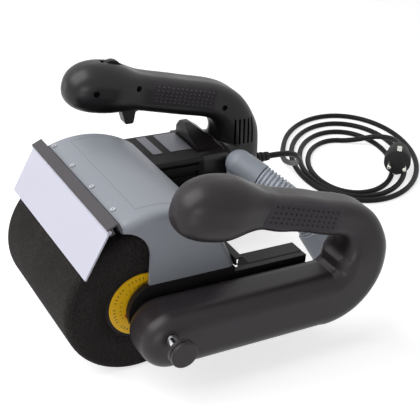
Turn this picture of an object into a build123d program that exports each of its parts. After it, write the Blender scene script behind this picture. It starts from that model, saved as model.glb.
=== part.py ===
from build123d import *
import math
import os

os.makedirs("parts", exist_ok=True)

# Electric drum polisher. Millimetres, +Z up, the drum's axis along X,
# the front towards -Y. Pieces are laid out from the middle of the drum's
# axis on the floor and moved to the middle of the machine's base at the end.

# Drum
drum_radius = 70
drum_length = 152
drum_round = 7
core_radius = 34
core_wall = 5
core_web = 14
shaft_radius = 10
shaft_inset = 4
stub_step = 2
key_width = 5
key_length = 10
key_inset = 1
label_radius = 30.8
label_bore = 13
label_thick = 1
seat_clearance = 0.05
running_clearance = 0.06
edge_slack = 1

# Hood
side_gap = 7
hood_wall = 3
hood_radius = 89
hood_centre_y = 8
hood_centre_z = 74
hood_front_y = -25.2
hood_shoulder_y = 64
hood_rear_y = 86.5
hood_rear_z = 98
hood_bottom_z = 94
hood_edge_round = 8
hood_shoulder_round = 25
cutout_y = 1.8
cutout_radius = 30
cutout_top_z = 150.5

# Front channel with the deflector plate hung on its bead
bead_y = -37.2
bead_z = 154.2
bead_radius = 2
channel_slope = 26
channel_start = -1.2
channel_width = 10.7
channel_lip = 0.8
channel_wall = 1.4
channel_gap = 0.3
channel_leg = 9
channel_flange = 12
flange_thick = 1.5
flange_start = -27
flange_inset = 0.5
screw_y = -21.8
screw_places = (-74, -30, 14, 58)
plate_thick = 1.6
plate_length = 46
plate_lean = 26
screw_head_radius = 2.2
screw_head_height = 1.2
screw_radius = 1.5
screw_length = 6

# Rear channel with its short flap
flap_length = 24
flap_lean = 8
flap_end_gap = 1.5
rear_lip = 1
rear_channel_z = 98

# Side plates and near bracket
plate_side_thick = 6
plate_low_z = 44
plate_hood_gap = 0.5
plate_nose = 17
flange_deep = 3
flange_low_z = 84
flange_high_z = 112
flange_start_y = 22
flange_end_y = 70
hood_screw_y = (34, 62)
hood_screw_z = 104
hood_screw_radius = 2
hood_screw_head = 4
hood_screw_bite = 2.4
bracket_width = 20
bracket_front_y = 106
bracket_rear_y = 164
bracket_top_z = 88.7
bracket_low_z = 58
bracket_wall = 3
leg_length = 22
leg_margin = 2
arm_bolt_y = (58, 128)
arm_bolt_z = 73
arm_bolt_radius = 3
arm_bolt_head = 5.5
arm_bolt_length = 16
bolt_boss_radius = 6.5
foot_height = 6
foot_margin = 2
side_gap_to_arm = 1

# Near arm with its open handle
arm_width = 48
arm_low_z = 34.5
arm_height = 54
arm_corner = 16
arm_nose_y = 5
corner_share = 0.34
bulb_corner_share = 0.45
arm_straight = 150
seam_step = 0.05
seam_lap = 6
arm_wall = 3.5
near_loop_y = 163
near_loop_z = 96.7
near_loop_radius = 63
near_loop_end = 164
near_corner_y = 164.4
near_corner_gap = 8
far_corner_gap = 3
fan_steps = (0, 22, 45, 68, 90)
loop_parts = (0.3, 0.55, 0.78, 1)
grip_steps = (0.35, 0.7, 1)
bulb_steps = (0.08, 0.16, 0.25, 0.34, 0.43, 0.52, 0.62, 0.72, 0.82, 0.9, 0.96, 0.985, 0.997)
bulb_peak = 0.5
bulb_fullness = 2.5
droop_start = 0.2
inner_short = 2
least_corner = 1
near_grip_thick = 33
near_grip_width = 37
near_grip_length = 88
near_bulb_thick = 56
near_bulb_width = 50
near_bulb_length = 85
near_bulb_drop = 3.4
near_bulb_droop = 6.5

# Release pin on the drum's axis
pin_radius = 5.75
pin_tip_radius = 5
pin_tip_length = 16
pin_collar_radius = 8
pin_collar_length = 3
collar_stand = 4
pin_stand_off = 15
pin_travel = 12
pin_room = 0.5
cap_radius = 12
cap_length = 8
cap_groove = 1
bush_wall = 1.6
bush_flange = 2
bush_lip = 2
pilot_wall = 1.4
pilot_spare = 6
spring_wire = 1.2
spring_turns = 8
spring_room = 0.5

# Drive: bevel gears, motor, gear housing
crown_teeth = 30
pinion_teeth = 10
crown_radius = 20
gear_face = 6
tooth_rise = 0.75
tooth_root = 1.1
tooth_sink = 0.3
tooth_share = 0.38
tooth_flank = 20
gear_back = 6
motor_half = 41
motor_corner = 14
motor_near_corner = 4
gear_rear_y = 48
motor_rear_y = 150
gear_wall = 5
rear_wall = 13
motor_bore = 34
armature_radius = 20.4
armature_slots = 12
slot_depth = 9
slot_width = 1.6
winding_length = 4
winding_gap = 1
stator_bore = 21.4
stator_start_y = 66
stator_length = 50
coil_width = 22
coil_depth = 12
coil_overhang = 2
motor_shaft_radius = 5
pinion_shaft_radius = 3
commutator_radius = 12
commutator_length = 14
fan_radius = 31
fan_hub_radius = 9
fan_blades = 11
blade_lap = 1
fan_gap = 3
fan_plate = 1.5
fan_length = 9
bearing_length = 9
bearing_gap = 1
shaft_bearing_radius = 17
motor_bearing_radius = 13
brush_width = 6
brush_length = 12
holder_wall = 1.5
holder_gap = 0.5
gear_room = 1.5
gear_half = 18
lobe_wall = 8
neck_y = 30
neck_end_y = 40
cavity_room = 0.5
gear_edge_round = 2.5
cover_edge_round = 1
shaft_hole_room = 1
cover_thick = 4
cover_screws = 6
cover_screw_turn = 30
motor_bolt_inset = 4
groove_depth = 3
groove_margin = 6
side_grooves = ((16, 6), (5, 3))
vent_count = 5
vent_width = 2.2
vent_length = 22

# Motor handle
far_loop_y = 155.6
far_loop_z = 105.4
far_loop_radius = 76.4
far_loop_end = 167
far_corner_y = 180
far_loop_width = 56
root_step = 1
far_grip_thick = 38
far_grip_width = 40
far_grip_length = 80
far_bulb_thick = 52
far_bulb_width = 52
far_bulb_length = 83
far_bulb_droop = 5
root_corner = 8
handle_wall = 3
open_step = 1
boss_radius = 5
boss_depth = 8
handle_screw_radius = 1.5
handle_head_radius = 3
handle_head_height = 2
near_bosses = ((40, 48), (128, 48), (206, 80), (120, 157), (44, 174))
far_bosses = ((33, 191), (80, 189.5), (182, 155), (204, 72), (166, 50))

# Trigger, switch and speed wheel in the motor handle
trigger_width = 11
pivot_radius = 2
trigger_room = 0.6
trigger_round = 2
trigger_pivot = (98, 170)
trigger_fin = ((74, 145.5), (83, 145.5))
trigger_body = ((85, 158), (103, 164), (103, 174), (66, 172), (66, 166), (70, 158))
trigger_slot = (62, 98)
trigger_slot_top = 168.5
pivot_boss_radius = 4.5
switch_half = 15
switch_low = (86, 178.5)
switch_high = (112, 186)
trigger_spring_y = 90
trigger_spring_wire = 0.8
trigger_spring_radius = 3
trigger_spring_turns = 3
trigger_spring_gap = 0.1
wheel_radius = 11
wheel_width = 6
wheel_room = 0.5
wheel_notches = 24
wheel_y = 58
wheel_z = 204.5

# Wiring saddle on the motor handle's root
saddle_start_y = 151
saddle_gap = 0.5
saddle_length = 25
saddle_near = 24
saddle_far = 27
saddle_rise = 15
saddle_front = 9
saddle_back = 6
saddle_flat = (4, 11)
saddle_ridge = 17
saddle_lip = 1.5
saddle_round = 1

# Cooling slots in the motor handle
slot_y = 195
slot_z = 127
slot_pitch = 5.2
slot_height = 28

# Dust duct, elbow, hose and end cuff
duct_width = 30
duct_start_y = 87
duct_low_z = 52
duct_high_z = 82
duct_rear_y = 202
duct_wall = 2.5
duct_round = 4
elbow_middle = (-72, 184.4, 105.6)
elbow_radius = 15
elbow_neck_radius = 13
elbow_bore = 10
elbow_length = 27
hose_heading = (0.80, 0.50, -0.33)
hose_end = (-10.5, 244, 47)
hose_end_heading = (0.43, 0.43, -0.79)
hose_radius = 14.5
hose_bore_radius = 11.5
rib_height = 1.1
rib_count = 20
rib_crest = 0.5
rib_flank = 0.2
end_cuff_length = 46
end_cuff_radius = 16.5

# Mains cord, its strain relief and plug
cable_radius = 3.5
cable_lift = 0.2
relief_z = 77
relief_length = 32
relief_base_radius = 8
relief_tip_radius = 5
relief_root = 6
lead_route = ((-128, 286, 77), (-142, 312, 62), (-168, 334, 38), (-204, 350, 16))
lead_landing = (-240, 361)
coil_heading = (-0.833, 0.553)
lead_last_run = 38
bend_share = 0.45
coil_turns = 3.25
turn_step = 0.001
skip_share = 0.1
coil_long = 140
coil_short = 94
coil_long_step = 19.7
coil_short_step = 14
coil_drift = (6.7, -8)
plug_start = (-185, 508, 25)
plug_heading = (0.75, -0.66)
plug_radius = 17
plug_length = 40
plug_boot_length = 16
plug_boot_radius = 10
plug_pin_radius = 2.4
plug_pin_length = 19
plug_pin_spacing = 19

# Feet
far_leg_y = 132
far_leg_size = 24

pieces = {}
cord_labels = []


def keep(piece, label, on_cord=False):
    piece.part.label = label
    pieces[label] = piece.part
    if on_cord:
        cord_labels.append(label)


def drum_plane(x):
    """Plane square to the drum's axis: local x is +Y, local y is +Z."""
    return Plane(origin=(x, 0, drum_radius), x_dir=(0, 1, 0), z_dir=(1, 0, 0))


def motor_plane(y):
    """Plane square to the motor's axis, facing the rear: local y is -Z."""
    return Plane(origin=(motor_x, y, drum_radius), x_dir=(1, 0, 0), z_dir=(0, 1, 0))


def ring(plane, radius, bore, length):
    with BuildPart() as turned:
        with BuildSketch(plane):
            Circle(radius)
            if bore:
                Circle(bore, mode=Mode.SUBTRACT)
        extrude(amount=length)
    return turned


def biarc_wire(stops):
    """Smooth wire through (point, direction) stops, two tangent arcs between each pair."""
    arcs = []
    for (start, leave), (end, arrive) in zip(stops, stops[1:]):
        span = end - start
        both = leave + arrive
        spread = 2 * (1 - leave.dot(arrive))
        reach = span.dot(both)
        handle = (math.sqrt(reach ** 2 + spread * span.dot(span)) - reach) / spread
        middle = (start + end + (leave - arrive) * handle) * 0.5
        turn = (middle - start - leave * handle).normalized()
        arcs.append(Edge.make_tangent_arc(start, leave, middle))
        arcs.append(Edge.make_tangent_arc(middle, turn, end))
    return Wire(arcs)


def helix_stops(centre, along, side, radius, pitch, turns):
    """Quarter-turn stops of a helix that climbs along one axis."""
    across = along.cross(side)
    stops = []
    for step in range(int(turns * 4) + 1):
        angle = step * math.pi / 2
        out = side * math.cos(angle) + across * math.sin(angle)
        ahead = across * math.cos(angle) - side * math.sin(angle)
        climb = pitch / (2 * math.pi * radius)
        point = centre + out * radius + along * (pitch * step / 4)
        stops.append((point, (ahead + along * climb).normalized()))
    return stops


def swept_round(wire, radius):
    """Round wire or cord along a path."""
    with BuildPart() as cord:
        with BuildSketch(Plane(origin=wire @ 0, z_dir=wire % 0)):
            Circle(radius)
        sweep(path=wire)
    return cord


def least_gap(wire, radius, turn_share, samples=900):
    """Smallest clear space between stretches of one tube that are well apart along it."""
    points = [wire @ (i / samples) for i in range(samples + 1)]
    skip = int(samples * turn_share)
    least = math.inf
    for i, a in enumerate(points):
        for b in points[i + skip::2]:
            least = min(least, (a - b).length)
    return least - 2 * radius


# Places worked out from the driving dimensions
drum_half = drum_length / 2
hood_inner = drum_half + side_gap
hood_half = hood_inner + hood_wall
side_face = hood_half + side_gap_to_arm
arm_x = side_face + arm_width / 2
arm_outer = side_face + arm_width
arm_mid_z = arm_low_z + arm_height / 2
motor_x = -side_face - motor_half
motor_outer_x = motor_x - motor_half
motor_top = drum_radius + motor_half
motor_low = drum_radius - motor_half
pinion_radius = crown_radius * pinion_teeth / crown_teeth

# Drum: foam sleeve on a core that is keyed to the drive shaft
with BuildPart() as drum_sleeve:
    with BuildSketch(drum_plane(-drum_half)):
        Circle(drum_radius)
        Circle(core_radius, mode=Mode.SUBTRACT)
    extrude(amount=drum_length)
    fillet(drum_sleeve.edges().group_by(SortBy.LENGTH)[-1], drum_round)
keep(drum_sleeve, "drum_sleeve")

shaft_bore = shaft_radius + seat_clearance
with BuildPart() as drum_core:
    with BuildSketch(drum_plane(-drum_half)):
        Circle(core_radius - seat_clearance)
        Circle(shaft_bore, mode=Mode.SUBTRACT)
    extrude(amount=drum_length)
    with BuildSketch(drum_plane(-drum_half + core_web)):
        Circle(core_radius - core_wall)
    extrude(amount=drum_length - 2 * core_web, mode=Mode.SUBTRACT)
    with BuildSketch(drum_plane(-drum_half)):
        with Locations((0, shaft_radius)):
            Rectangle(key_width + 2 * seat_clearance, key_width + 2 * seat_clearance)
    extrude(amount=core_web, mode=Mode.SUBTRACT)
keep(drum_core, "drum_core")

with BuildPart() as drum_key:
    with BuildSketch(drum_plane(-drum_half + key_inset)):
        with Locations((0, shaft_radius)):
            Rectangle(key_width, key_width)
    extrude(amount=key_length)
keep(drum_key, "drum_key")

drum_label = ring(drum_plane(drum_half), label_radius, label_bore, label_thick)
keep(drum_label, "drum_label_disc")

# Drive shaft: stub for the crown gear at the motor side, bored for the pilot bush at the other
crown_module = 2 * crown_radius / crown_teeth
cone_length = math.hypot(crown_radius, pinion_radius)
crown_back = pinion_radius + tooth_root * crown_module * crown_radius / cone_length + gear_back
crown_back_x = motor_x + crown_back
stub_radius = shaft_radius - stub_step
shaft_end = drum_half - shaft_inset
pilot_radius = pin_tip_radius + running_clearance + pilot_wall
pilot_depth = pin_travel + pilot_spare
with BuildPart() as drive_shaft:
    with BuildSketch(drum_plane(crown_back_x)):
        Circle(shaft_radius)
    extrude(amount=shaft_end - crown_back_x)
    with BuildSketch(drum_plane(motor_x + pinion_radius)):
        Circle(stub_radius)
    extrude(amount=crown_back - pinion_radius)
    with BuildSketch(drum_plane(shaft_end)):
        Circle(pilot_radius + seat_clearance)
    extrude(amount=-pilot_depth, mode=Mode.SUBTRACT)
    with BuildSketch(drum_plane(-drum_half + key_inset)):
        with Locations((0, shaft_radius)):
            Rectangle(key_width + 2 * seat_clearance, key_width + 2 * seat_clearance)
    extrude(amount=key_length, mode=Mode.SUBTRACT)
keep(drive_shaft, "drive_shaft")

pilot_bush = ring(drum_plane(shaft_end - pilot_depth), pilot_radius,
                  pin_tip_radius + running_clearance, pilot_depth)
keep(pilot_bush, "pilot_bush")


def bevel_gear(apex, along, side, teeth, radius, mate_radius, bore, turn):
    """Straight bevel gear whose pitch cone has its tip at the apex."""
    slant = math.hypot(radius, mate_radius)
    sin_cone = radius / slant
    cos_cone = mate_radius / slant
    module = 2 * radius / teeth
    rise = tooth_rise * module
    root = tooth_root * module
    toe = (slant - gear_face) / slant
    lean = math.tan(math.radians(tooth_flank))
    half = math.pi * module / 2 * tooth_share
    sink = root + module * tooth_sink
    across = along.cross(side)
    heel_root = (slant * cos_cone + root * sin_cone, slant * sin_cone - root * cos_cone)
    toe_root = (heel_root[0] * toe, heel_root[1] * toe)
    back = heel_root[0] + gear_back
    with BuildPart() as gear:
        with BuildSketch(Plane(origin=apex, x_dir=along, z_dir=along.cross(side))):
            Polygon(toe_root, heel_root, (back, heel_root[1]), (back, bore), (toe_root[0], bore),
                    align=None)
        revolve(axis=Axis(apex, along))
        blank = gear.part
        with BuildPart(mode=Mode.PRIVATE) as tooth:
            for share in (1, toe):
                angle = math.radians(turn)
                out = side * math.cos(angle) + across * math.sin(angle)
                tangent = across * math.cos(angle) - side * math.sin(angle)
                slope = along * cos_cone + out * sin_cone
                rising = out * cos_cone - along * sin_cone
                place = apex + slope * (slant * share)
                with BuildSketch(Plane(origin=place, x_dir=tangent, z_dir=tangent.cross(rising))):
                    Polygon(((-half - sink * lean) * share, -sink * share),
                            ((half + sink * lean) * share, -sink * share),
                            ((half - rise * lean) * share, rise * share),
                            ((-half + rise * lean) * share, rise * share), align=None)
            loft(ruled=True)
        for step in range(teeth):
            add(tooth.part.rotate(Axis(apex, along), 360 * step / teeth))
    return gear


gear_apex = Vector(motor_x, 0, drum_radius)
side_x = Vector(1, 0, 0)
rear_y = Vector(0, 1, 0)
up_z = Vector(0, 0, 1)
crown_gear = bevel_gear(gear_apex, side_x, rear_y, crown_teeth, crown_radius, pinion_radius,
                        stub_radius + seat_clearance, 0)
keep(crown_gear, "crown_gear")
pinion = bevel_gear(gear_apex, rear_y, side_x, pinion_teeth, pinion_radius, crown_radius,
                    pinion_shaft_radius + seat_clearance, 180 / pinion_teeth)
keep(pinion, "pinion_gear")

shaft_bearing_x = crown_back_x + bearing_gap
shaft_bearing = ring(drum_plane(shaft_bearing_x), shaft_bearing_radius,
                     shaft_radius + running_clearance, bearing_length)
keep(shaft_bearing, "drive_shaft_bearing")

# Motor: armature on its own shaft behind the pinion, stator and brushes around it
pinion_toe = crown_radius * (1 - gear_face / cone_length)
pinion_back = crown_radius + tooth_root * crown_module * pinion_radius / cone_length + gear_back
front_bearing_y = gear_rear_y - bearing_length
rear_wall_y = motor_rear_y - rear_wall
rear_bearing_y = rear_wall_y + bearing_gap
armature_end = rear_bearing_y + bearing_length
stator_end_y = stator_start_y + stator_length
commutator_y = stator_end_y + winding_length + winding_gap
brush_y = commutator_y + commutator_length / 2

with BuildPart() as armature_shaft:
    with BuildSketch(motor_plane(pinion_toe)):
        Circle(pinion_shaft_radius)
    extrude(amount=pinion_back - pinion_toe)
    with BuildSketch(motor_plane(pinion_back)):
        Circle(motor_shaft_radius)
    extrude(amount=armature_end - pinion_back)
keep(armature_shaft, "armature_shaft")

shaft_fit = motor_shaft_radius + seat_clearance
with BuildPart() as armature_core:
    with BuildSketch(motor_plane(stator_start_y)):
        Circle(armature_radius)
        Circle(shaft_fit, mode=Mode.SUBTRACT)
        with PolarLocations(armature_radius, armature_slots):
            Rectangle(slot_depth, slot_width, mode=Mode.SUBTRACT)
    extrude(amount=stator_length)
keep(armature_core, "armature_core")

with BuildPart() as armature_winding:
    for start_y in (stator_start_y - winding_length, stator_end_y):
        with BuildSketch(motor_plane(start_y)):
            Circle(armature_radius - slot_depth / 2)
            Circle(shaft_fit, mode=Mode.SUBTRACT)
        extrude(amount=winding_length)
keep(armature_winding, "armature_winding_heads")

with BuildPart() as commutator:
    with BuildSketch(motor_plane(commutator_y)):
        Circle(commutator_radius)
        Circle(shaft_fit, mode=Mode.SUBTRACT)
    extrude(amount=commutator_length)
keep(commutator, "commutator")

fan_y = gear_rear_y + fan_gap
with BuildPart() as fan:
    with BuildSketch(motor_plane(fan_y)):
        Circle(fan_radius)
        Circle(shaft_fit, mode=Mode.SUBTRACT)
    extrude(amount=fan_plate)
    with BuildSketch(motor_plane(fan_y)):
        Circle(fan_hub_radius)
        Circle(shaft_fit, mode=Mode.SUBTRACT)
        with PolarLocations((fan_hub_radius + fan_radius) / 2 - blade_lap, fan_blades):
            Rectangle(fan_radius - fan_hub_radius, fan_plate)
    extrude(amount=fan_length)
keep(fan, "cooling_fan")

with BuildPart() as stator:
    with BuildSketch(motor_plane(stator_start_y)):
        Circle(motor_bore - seat_clearance)
        Circle(stator_bore, mode=Mode.SUBTRACT)
        with Locations((0, stator_bore), (0, -stator_bore)):
            Rectangle(coil_width, coil_depth, mode=Mode.SUBTRACT)
    extrude(amount=stator_length)
keep(stator, "stator_stack")

with BuildPart() as field_coils:
    for side in (1, -1):
        with BuildSketch(motor_plane(stator_start_y - coil_overhang)):
            with Locations((0, side * (stator_bore + coil_depth / 4))):
                Rectangle(coil_width - 2 * seat_clearance, coil_depth / 2 - 2 * seat_clearance)
        extrude(amount=stator_length + 2 * coil_overhang)
keep(field_coils, "field_coils")

brush_side = brush_width + 2 * running_clearance
holder_side = brush_side + 2 * holder_wall
with BuildPart() as brush_holders:
    for side in (1, -1):
        start = Vector(motor_x + side * (commutator_radius + holder_gap), brush_y, drum_radius)
        with BuildSketch(Plane(origin=start, x_dir=(0, 1, 0), z_dir=(side, 0, 0))):
            Rectangle(holder_side, holder_side)
            Rectangle(brush_side, brush_side, mode=Mode.SUBTRACT)
        extrude(amount=motor_bore - commutator_radius - 2 * holder_gap)
keep(brush_holders, "brush_holders")

with BuildPart() as brushes:
    for side in (1, -1):
        start = Vector(motor_x + side * (commutator_radius + running_clearance), brush_y, drum_radius)
        with BuildSketch(Plane(origin=start, x_dir=(0, 1, 0), z_dir=(side, 0, 0))):
            Rectangle(brush_width, brush_width)
        extrude(amount=brush_length)
keep(brushes, "carbon_brushes")

shaft_run = motor_shaft_radius + running_clearance
with BuildPart() as motor_bearings:
    for start_y in (front_bearing_y, rear_bearing_y):
        with BuildSketch(motor_plane(start_y)):
            Circle(motor_bearing_radius)
            Circle(shaft_run, mode=Mode.SUBTRACT)
        extrude(amount=bearing_length)
keep(motor_bearings, "motor_bearings")


def motor_section():
    """Square with well rounded outer corners and crisper ones on the hood's side."""
    RectangleRounded(2 * motor_half, 2 * motor_half, motor_corner)
    with Locations((motor_half / 2, 0)):
        RectangleRounded(motor_half, 2 * motor_half, motor_near_corner)


# Gear housing: slim and round about the drum's axis, spreading to the motor's square flange behind it
gear_cavity = crown_radius + gear_room
gear_outer_x = motor_x - gear_half
gear_lobe = gear_cavity + lobe_wall
cavity_end_x = crown_back_x + cavity_room
cover_radius = gear_lobe - gear_edge_round
lobe_width = -side_face - gear_outer_x
cover_screw_ring = (gear_cavity + cover_radius) / 2
with BuildPart() as gear_housing:
    with BuildSketch(drum_plane(gear_outer_x)):
        Circle(gear_lobe)
        with Locations(((neck_y + edge_slack) / 2, 0)):
            Rectangle(neck_y + edge_slack, 2 * gear_lobe)
    extrude(amount=lobe_width)
    side_edges = gear_housing.edges().filter_by(GeomType.CIRCLE)
    fillet(side_edges, gear_edge_round)
    with BuildSketch(motor_plane(neck_y)):
        with Locations((-side_face - lobe_width / 2 - motor_x, 0)):
            RectangleRounded(lobe_width, 2 * gear_lobe, gear_edge_round)
    with BuildSketch(motor_plane(neck_end_y)):
        RectangleRounded(2 * motor_half, 2 * motor_half, motor_corner)
    loft()
    with BuildSketch(motor_plane(neck_end_y)):
        motor_section()
    extrude(amount=gear_rear_y - neck_end_y)
    with BuildSketch(motor_plane(gear_rear_y)):
        Circle(motor_bearing_radius + seat_clearance)
    extrude(amount=-bearing_length, mode=Mode.SUBTRACT)
    with BuildSketch(motor_plane(front_bearing_y)):
        Circle(motor_bearing_radius - bearing_gap)
    extrude(amount=-front_bearing_y, mode=Mode.SUBTRACT)
    with BuildSketch(drum_plane(gear_outer_x)):
        Circle(gear_cavity)
    extrude(amount=cavity_end_x - gear_outer_x, mode=Mode.SUBTRACT)
    with BuildSketch(drum_plane(cavity_end_x)):
        Circle(shaft_bearing_radius + seat_clearance)
    extrude(amount=shaft_bearing_x + bearing_length - cavity_end_x, mode=Mode.SUBTRACT)
    with BuildSketch(drum_plane(cavity_end_x)):
        Circle(shaft_radius + shaft_hole_room)
    extrude(amount=-side_face - cavity_end_x, mode=Mode.SUBTRACT)
    with BuildSketch(drum_plane(gear_outer_x)):
        with PolarLocations(cover_screw_ring, cover_screws, start_angle=cover_screw_turn):
            Circle(screw_radius + seat_clearance)
    extrude(amount=screw_length, mode=Mode.SUBTRACT)
keep(gear_housing, "gear_housing")

with BuildPart() as gear_cover:
    with BuildSketch(drum_plane(gear_outer_x - cover_thick)):
        Circle(cover_radius)
    extrude(amount=cover_thick)
    fillet(gear_cover.edges().group_by(Axis.X)[0], cover_edge_round)
    with BuildSketch(drum_plane(gear_outer_x)):
        with PolarLocations(cover_screw_ring, cover_screws, start_angle=cover_screw_turn):
            Circle(screw_radius + seat_clearance)
    extrude(amount=-cover_thick, mode=Mode.SUBTRACT)
keep(gear_cover, "gear_cover")

# Motor housing: rounded square tube with a closed rear wall
bolt_reach = motor_half - motor_corner + motor_bolt_inset
bolt_places = [(a * bolt_reach, b * bolt_reach) for a in (1, -1) for b in (1, -1)]
with BuildPart() as motor_housing:
    with BuildSketch(motor_plane(gear_rear_y)):
        motor_section()
    extrude(amount=motor_rear_y - gear_rear_y)
    with BuildSketch(motor_plane(gear_rear_y)):
        Circle(motor_bore)
    extrude(amount=rear_wall_y - gear_rear_y, mode=Mode.SUBTRACT)
    with BuildSketch(motor_plane(rear_wall_y)):
        Circle(motor_bearing_radius + seat_clearance)
    extrude(amount=bearing_length + bearing_gap, mode=Mode.SUBTRACT)
    for drop, height in side_grooves:
        groove_foot = (-side_face, (gear_rear_y + motor_rear_y) / 2, motor_top - drop)
        with BuildSketch(Plane(origin=groove_foot, x_dir=(0, 1, 0), z_dir=(-1, 0, 0))):
            Rectangle(motor_rear_y - gear_rear_y - 2 * groove_margin, height)
        extrude(amount=groove_depth, mode=Mode.SUBTRACT)
    with BuildSketch(Plane(origin=(motor_outer_x, 0, drum_radius), x_dir=(0, 1, 0), z_dir=(-1, 0, 0))):
        for middle in (fan_y + fan_length / 2, brush_y - vent_width):
            with Locations((middle, 0)):
                with GridLocations(2 * vent_width, 0, vent_count, 1):
                    SlotOverall(vent_length, vent_width, rotation=90)
    extrude(amount=motor_bore - motor_half - 2 * gear_wall, mode=Mode.SUBTRACT)
    with BuildSketch(motor_plane(motor_rear_y)):
        with Locations(*bolt_places):
            Circle(screw_radius + seat_clearance)
    extrude(amount=-2 * screw_length, mode=Mode.SUBTRACT)
keep(motor_housing, "motor_housing")

with BuildPart() as motor_screws:
    with BuildSketch(motor_plane(motor_rear_y)):
        with Locations(*bolt_places):
            Circle(screw_radius)
    extrude(amount=-2 * screw_length)
    with BuildSketch(motor_plane(motor_rear_y)):
        with Locations(*bolt_places):
            Circle(screw_head_radius)
    extrude(amount=screw_head_height)
keep(motor_screws, "motor_screws")


# Hood: bent sheet over the drum, open in front and below, with cut-away front corners
def on_hood(y, inset=0):
    reach = hood_radius - inset
    return (y, hood_centre_z + math.sqrt(reach ** 2 - (y - hood_centre_y) ** 2))


flange_stop_y = flange_start + channel_flange
screw_lean = Vector(0, screw_y - hood_centre_y, on_hood(screw_y)[1] - hood_centre_z).normalized()


def channel_screw_plane(x):
    foot = Vector(x, hood_centre_y, hood_centre_z) + screw_lean * hood_radius
    return Plane(origin=foot, x_dir=(1, 0, 0), z_dir=screw_lean)


corner_z = cutout_top_z - cutout_radius
corner_y = cutout_y - cutout_radius
half_root = math.sqrt(0.5)
cut_rise = math.sqrt(cutout_radius ** 2 - (hood_front_y - corner_y) ** 2)
cut_end = (hood_front_y, corner_z + cut_rise)
cut_mid = (corner_y + cutout_radius * half_root, corner_z + cutout_radius * half_root)
slope_run = math.hypot(hood_rear_y - hood_shoulder_y, on_hood(hood_shoulder_y)[1] - hood_rear_z)
inner_shoulder = hood_shoulder_y - hood_wall * (hood_rear_y - hood_shoulder_y) / slope_run
with BuildPart() as hood:
    with BuildSketch(Plane.YZ.offset(-hood_half)):
        with BuildLine():
            ThreePointArc(on_hood(hood_front_y), on_hood(hood_centre_y), on_hood(hood_shoulder_y))
            Polyline(on_hood(hood_shoulder_y), (hood_rear_y, hood_rear_z), (hood_rear_y, hood_bottom_z),
                     (cutout_y, hood_bottom_z), (cutout_y, corner_z))
            ThreePointArc((cutout_y, corner_z), cut_mid, cut_end)
            Line(cut_end, on_hood(hood_front_y))
        make_face()
    extrude(amount=2 * hood_half)
    shoulder = hood.edges().filter_by(Axis.X).sort_by(Axis.Z)
    shoulder = shoulder.filter_by_position(Axis.Y, hood_shoulder_y - edge_slack, hood_shoulder_y + edge_slack)
    fillet(shoulder, hood_shoulder_round)
    crown_edges = hood.edges().filter_by(GeomType.CIRCLE)
    crown_edges += hood.edges().filter_by(GeomType.LINE)
    crown_edges = [e for e in crown_edges if abs(abs(e.center().X) - hood_half) < edge_slack]
    crown_edges = [e for e in crown_edges if e.center().Y > 0 and e.center().Z > hood_rear_z]
    crown_edges = [e for e in crown_edges if e.center().Y > cutout_y + edge_slack]
    fillet(crown_edges, hood_edge_round)
    with BuildSketch(Plane.YZ.offset(-hood_inner)):
        with BuildLine():
            front = hood_front_y - hood_edge_round
            inner_rear = hood_rear_y - hood_wall
            below = hood_bottom_z - hood_edge_round
            ThreePointArc(on_hood(front, hood_wall), on_hood(hood_centre_y, hood_wall),
                          on_hood(inner_shoulder, hood_wall))
            Polyline(on_hood(inner_shoulder, hood_wall), (inner_rear, hood_rear_z), (inner_rear, below),
                     (front, below), on_hood(front, hood_wall))
        make_face()
    extrude(amount=2 * hood_inner, mode=Mode.SUBTRACT)
    for side in (1, -1):
        with BuildSketch(Plane(origin=(side * hood_inner, 0, 0), x_dir=(0, 1, 0), z_dir=(side, 0, 0))):
            with Locations(*[(y, side * hood_screw_z) for y in hood_screw_y]):
                Circle(hood_screw_radius + seat_clearance)
        extrude(amount=hood_screw_bite, mode=Mode.SUBTRACT)
    for x in screw_places:
        with BuildSketch(channel_screw_plane(x)):
            Circle(screw_radius + seat_clearance)
        extrude(amount=-screw_length, mode=Mode.SUBTRACT)
keep(hood, "hood")


def profile_points(bead, inward, outward, corners):
    return [(bead[0] + a * inward[0] + b * outward[0], bead[1] + a * inward[1] + b * outward[1])
            for a, b in corners]


def hung_plate(bead, lean, length, start_x, end_x, label):
    """Flat plate along X that hangs from its own round bead; lean is towards -Y."""
    down = (-math.sin(math.radians(lean)), -math.cos(math.radians(lean)))
    middle = (bead[0] + down[0] * length / 2, bead[1] + down[1] * length / 2)
    with BuildPart() as plate:
        with BuildSketch(Plane.YZ.offset(start_x)):
            with Locations(bead):
                Circle(bead_radius)
            with Locations(middle):
                Rectangle(plate_thick, length, rotation=-lean)
        extrude(amount=end_x - start_x)
    keep(plate, label)


# Front channel with its flange under the hood's lip, its screws and the deflector plate
slope = math.radians(channel_slope)
inward = (math.cos(slope), math.sin(slope))
outward = (-math.sin(slope), math.cos(slope))
front_bead = (bead_y, bead_z)
bead_clear = bead_radius + channel_gap
bead_shell = bead_clear + channel_wall
channel_back = channel_start + channel_width
front_corners = [(channel_start, bead_shell), (channel_back, bead_shell), (channel_back, -channel_leg),
                 (channel_back - channel_wall, -channel_leg), (channel_back - channel_wall, bead_clear),
                 (bead_shell, bead_clear), (bead_shell, -bead_shell), (-channel_lip, -bead_shell),
                 (-channel_lip, -bead_clear), (bead_clear, -bead_clear), (bead_clear, bead_clear),
                 (channel_start, bead_clear)]
flange_radius = hood_radius - hood_wall - seat_clearance
flange_half = hood_inner - flange_inset


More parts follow.
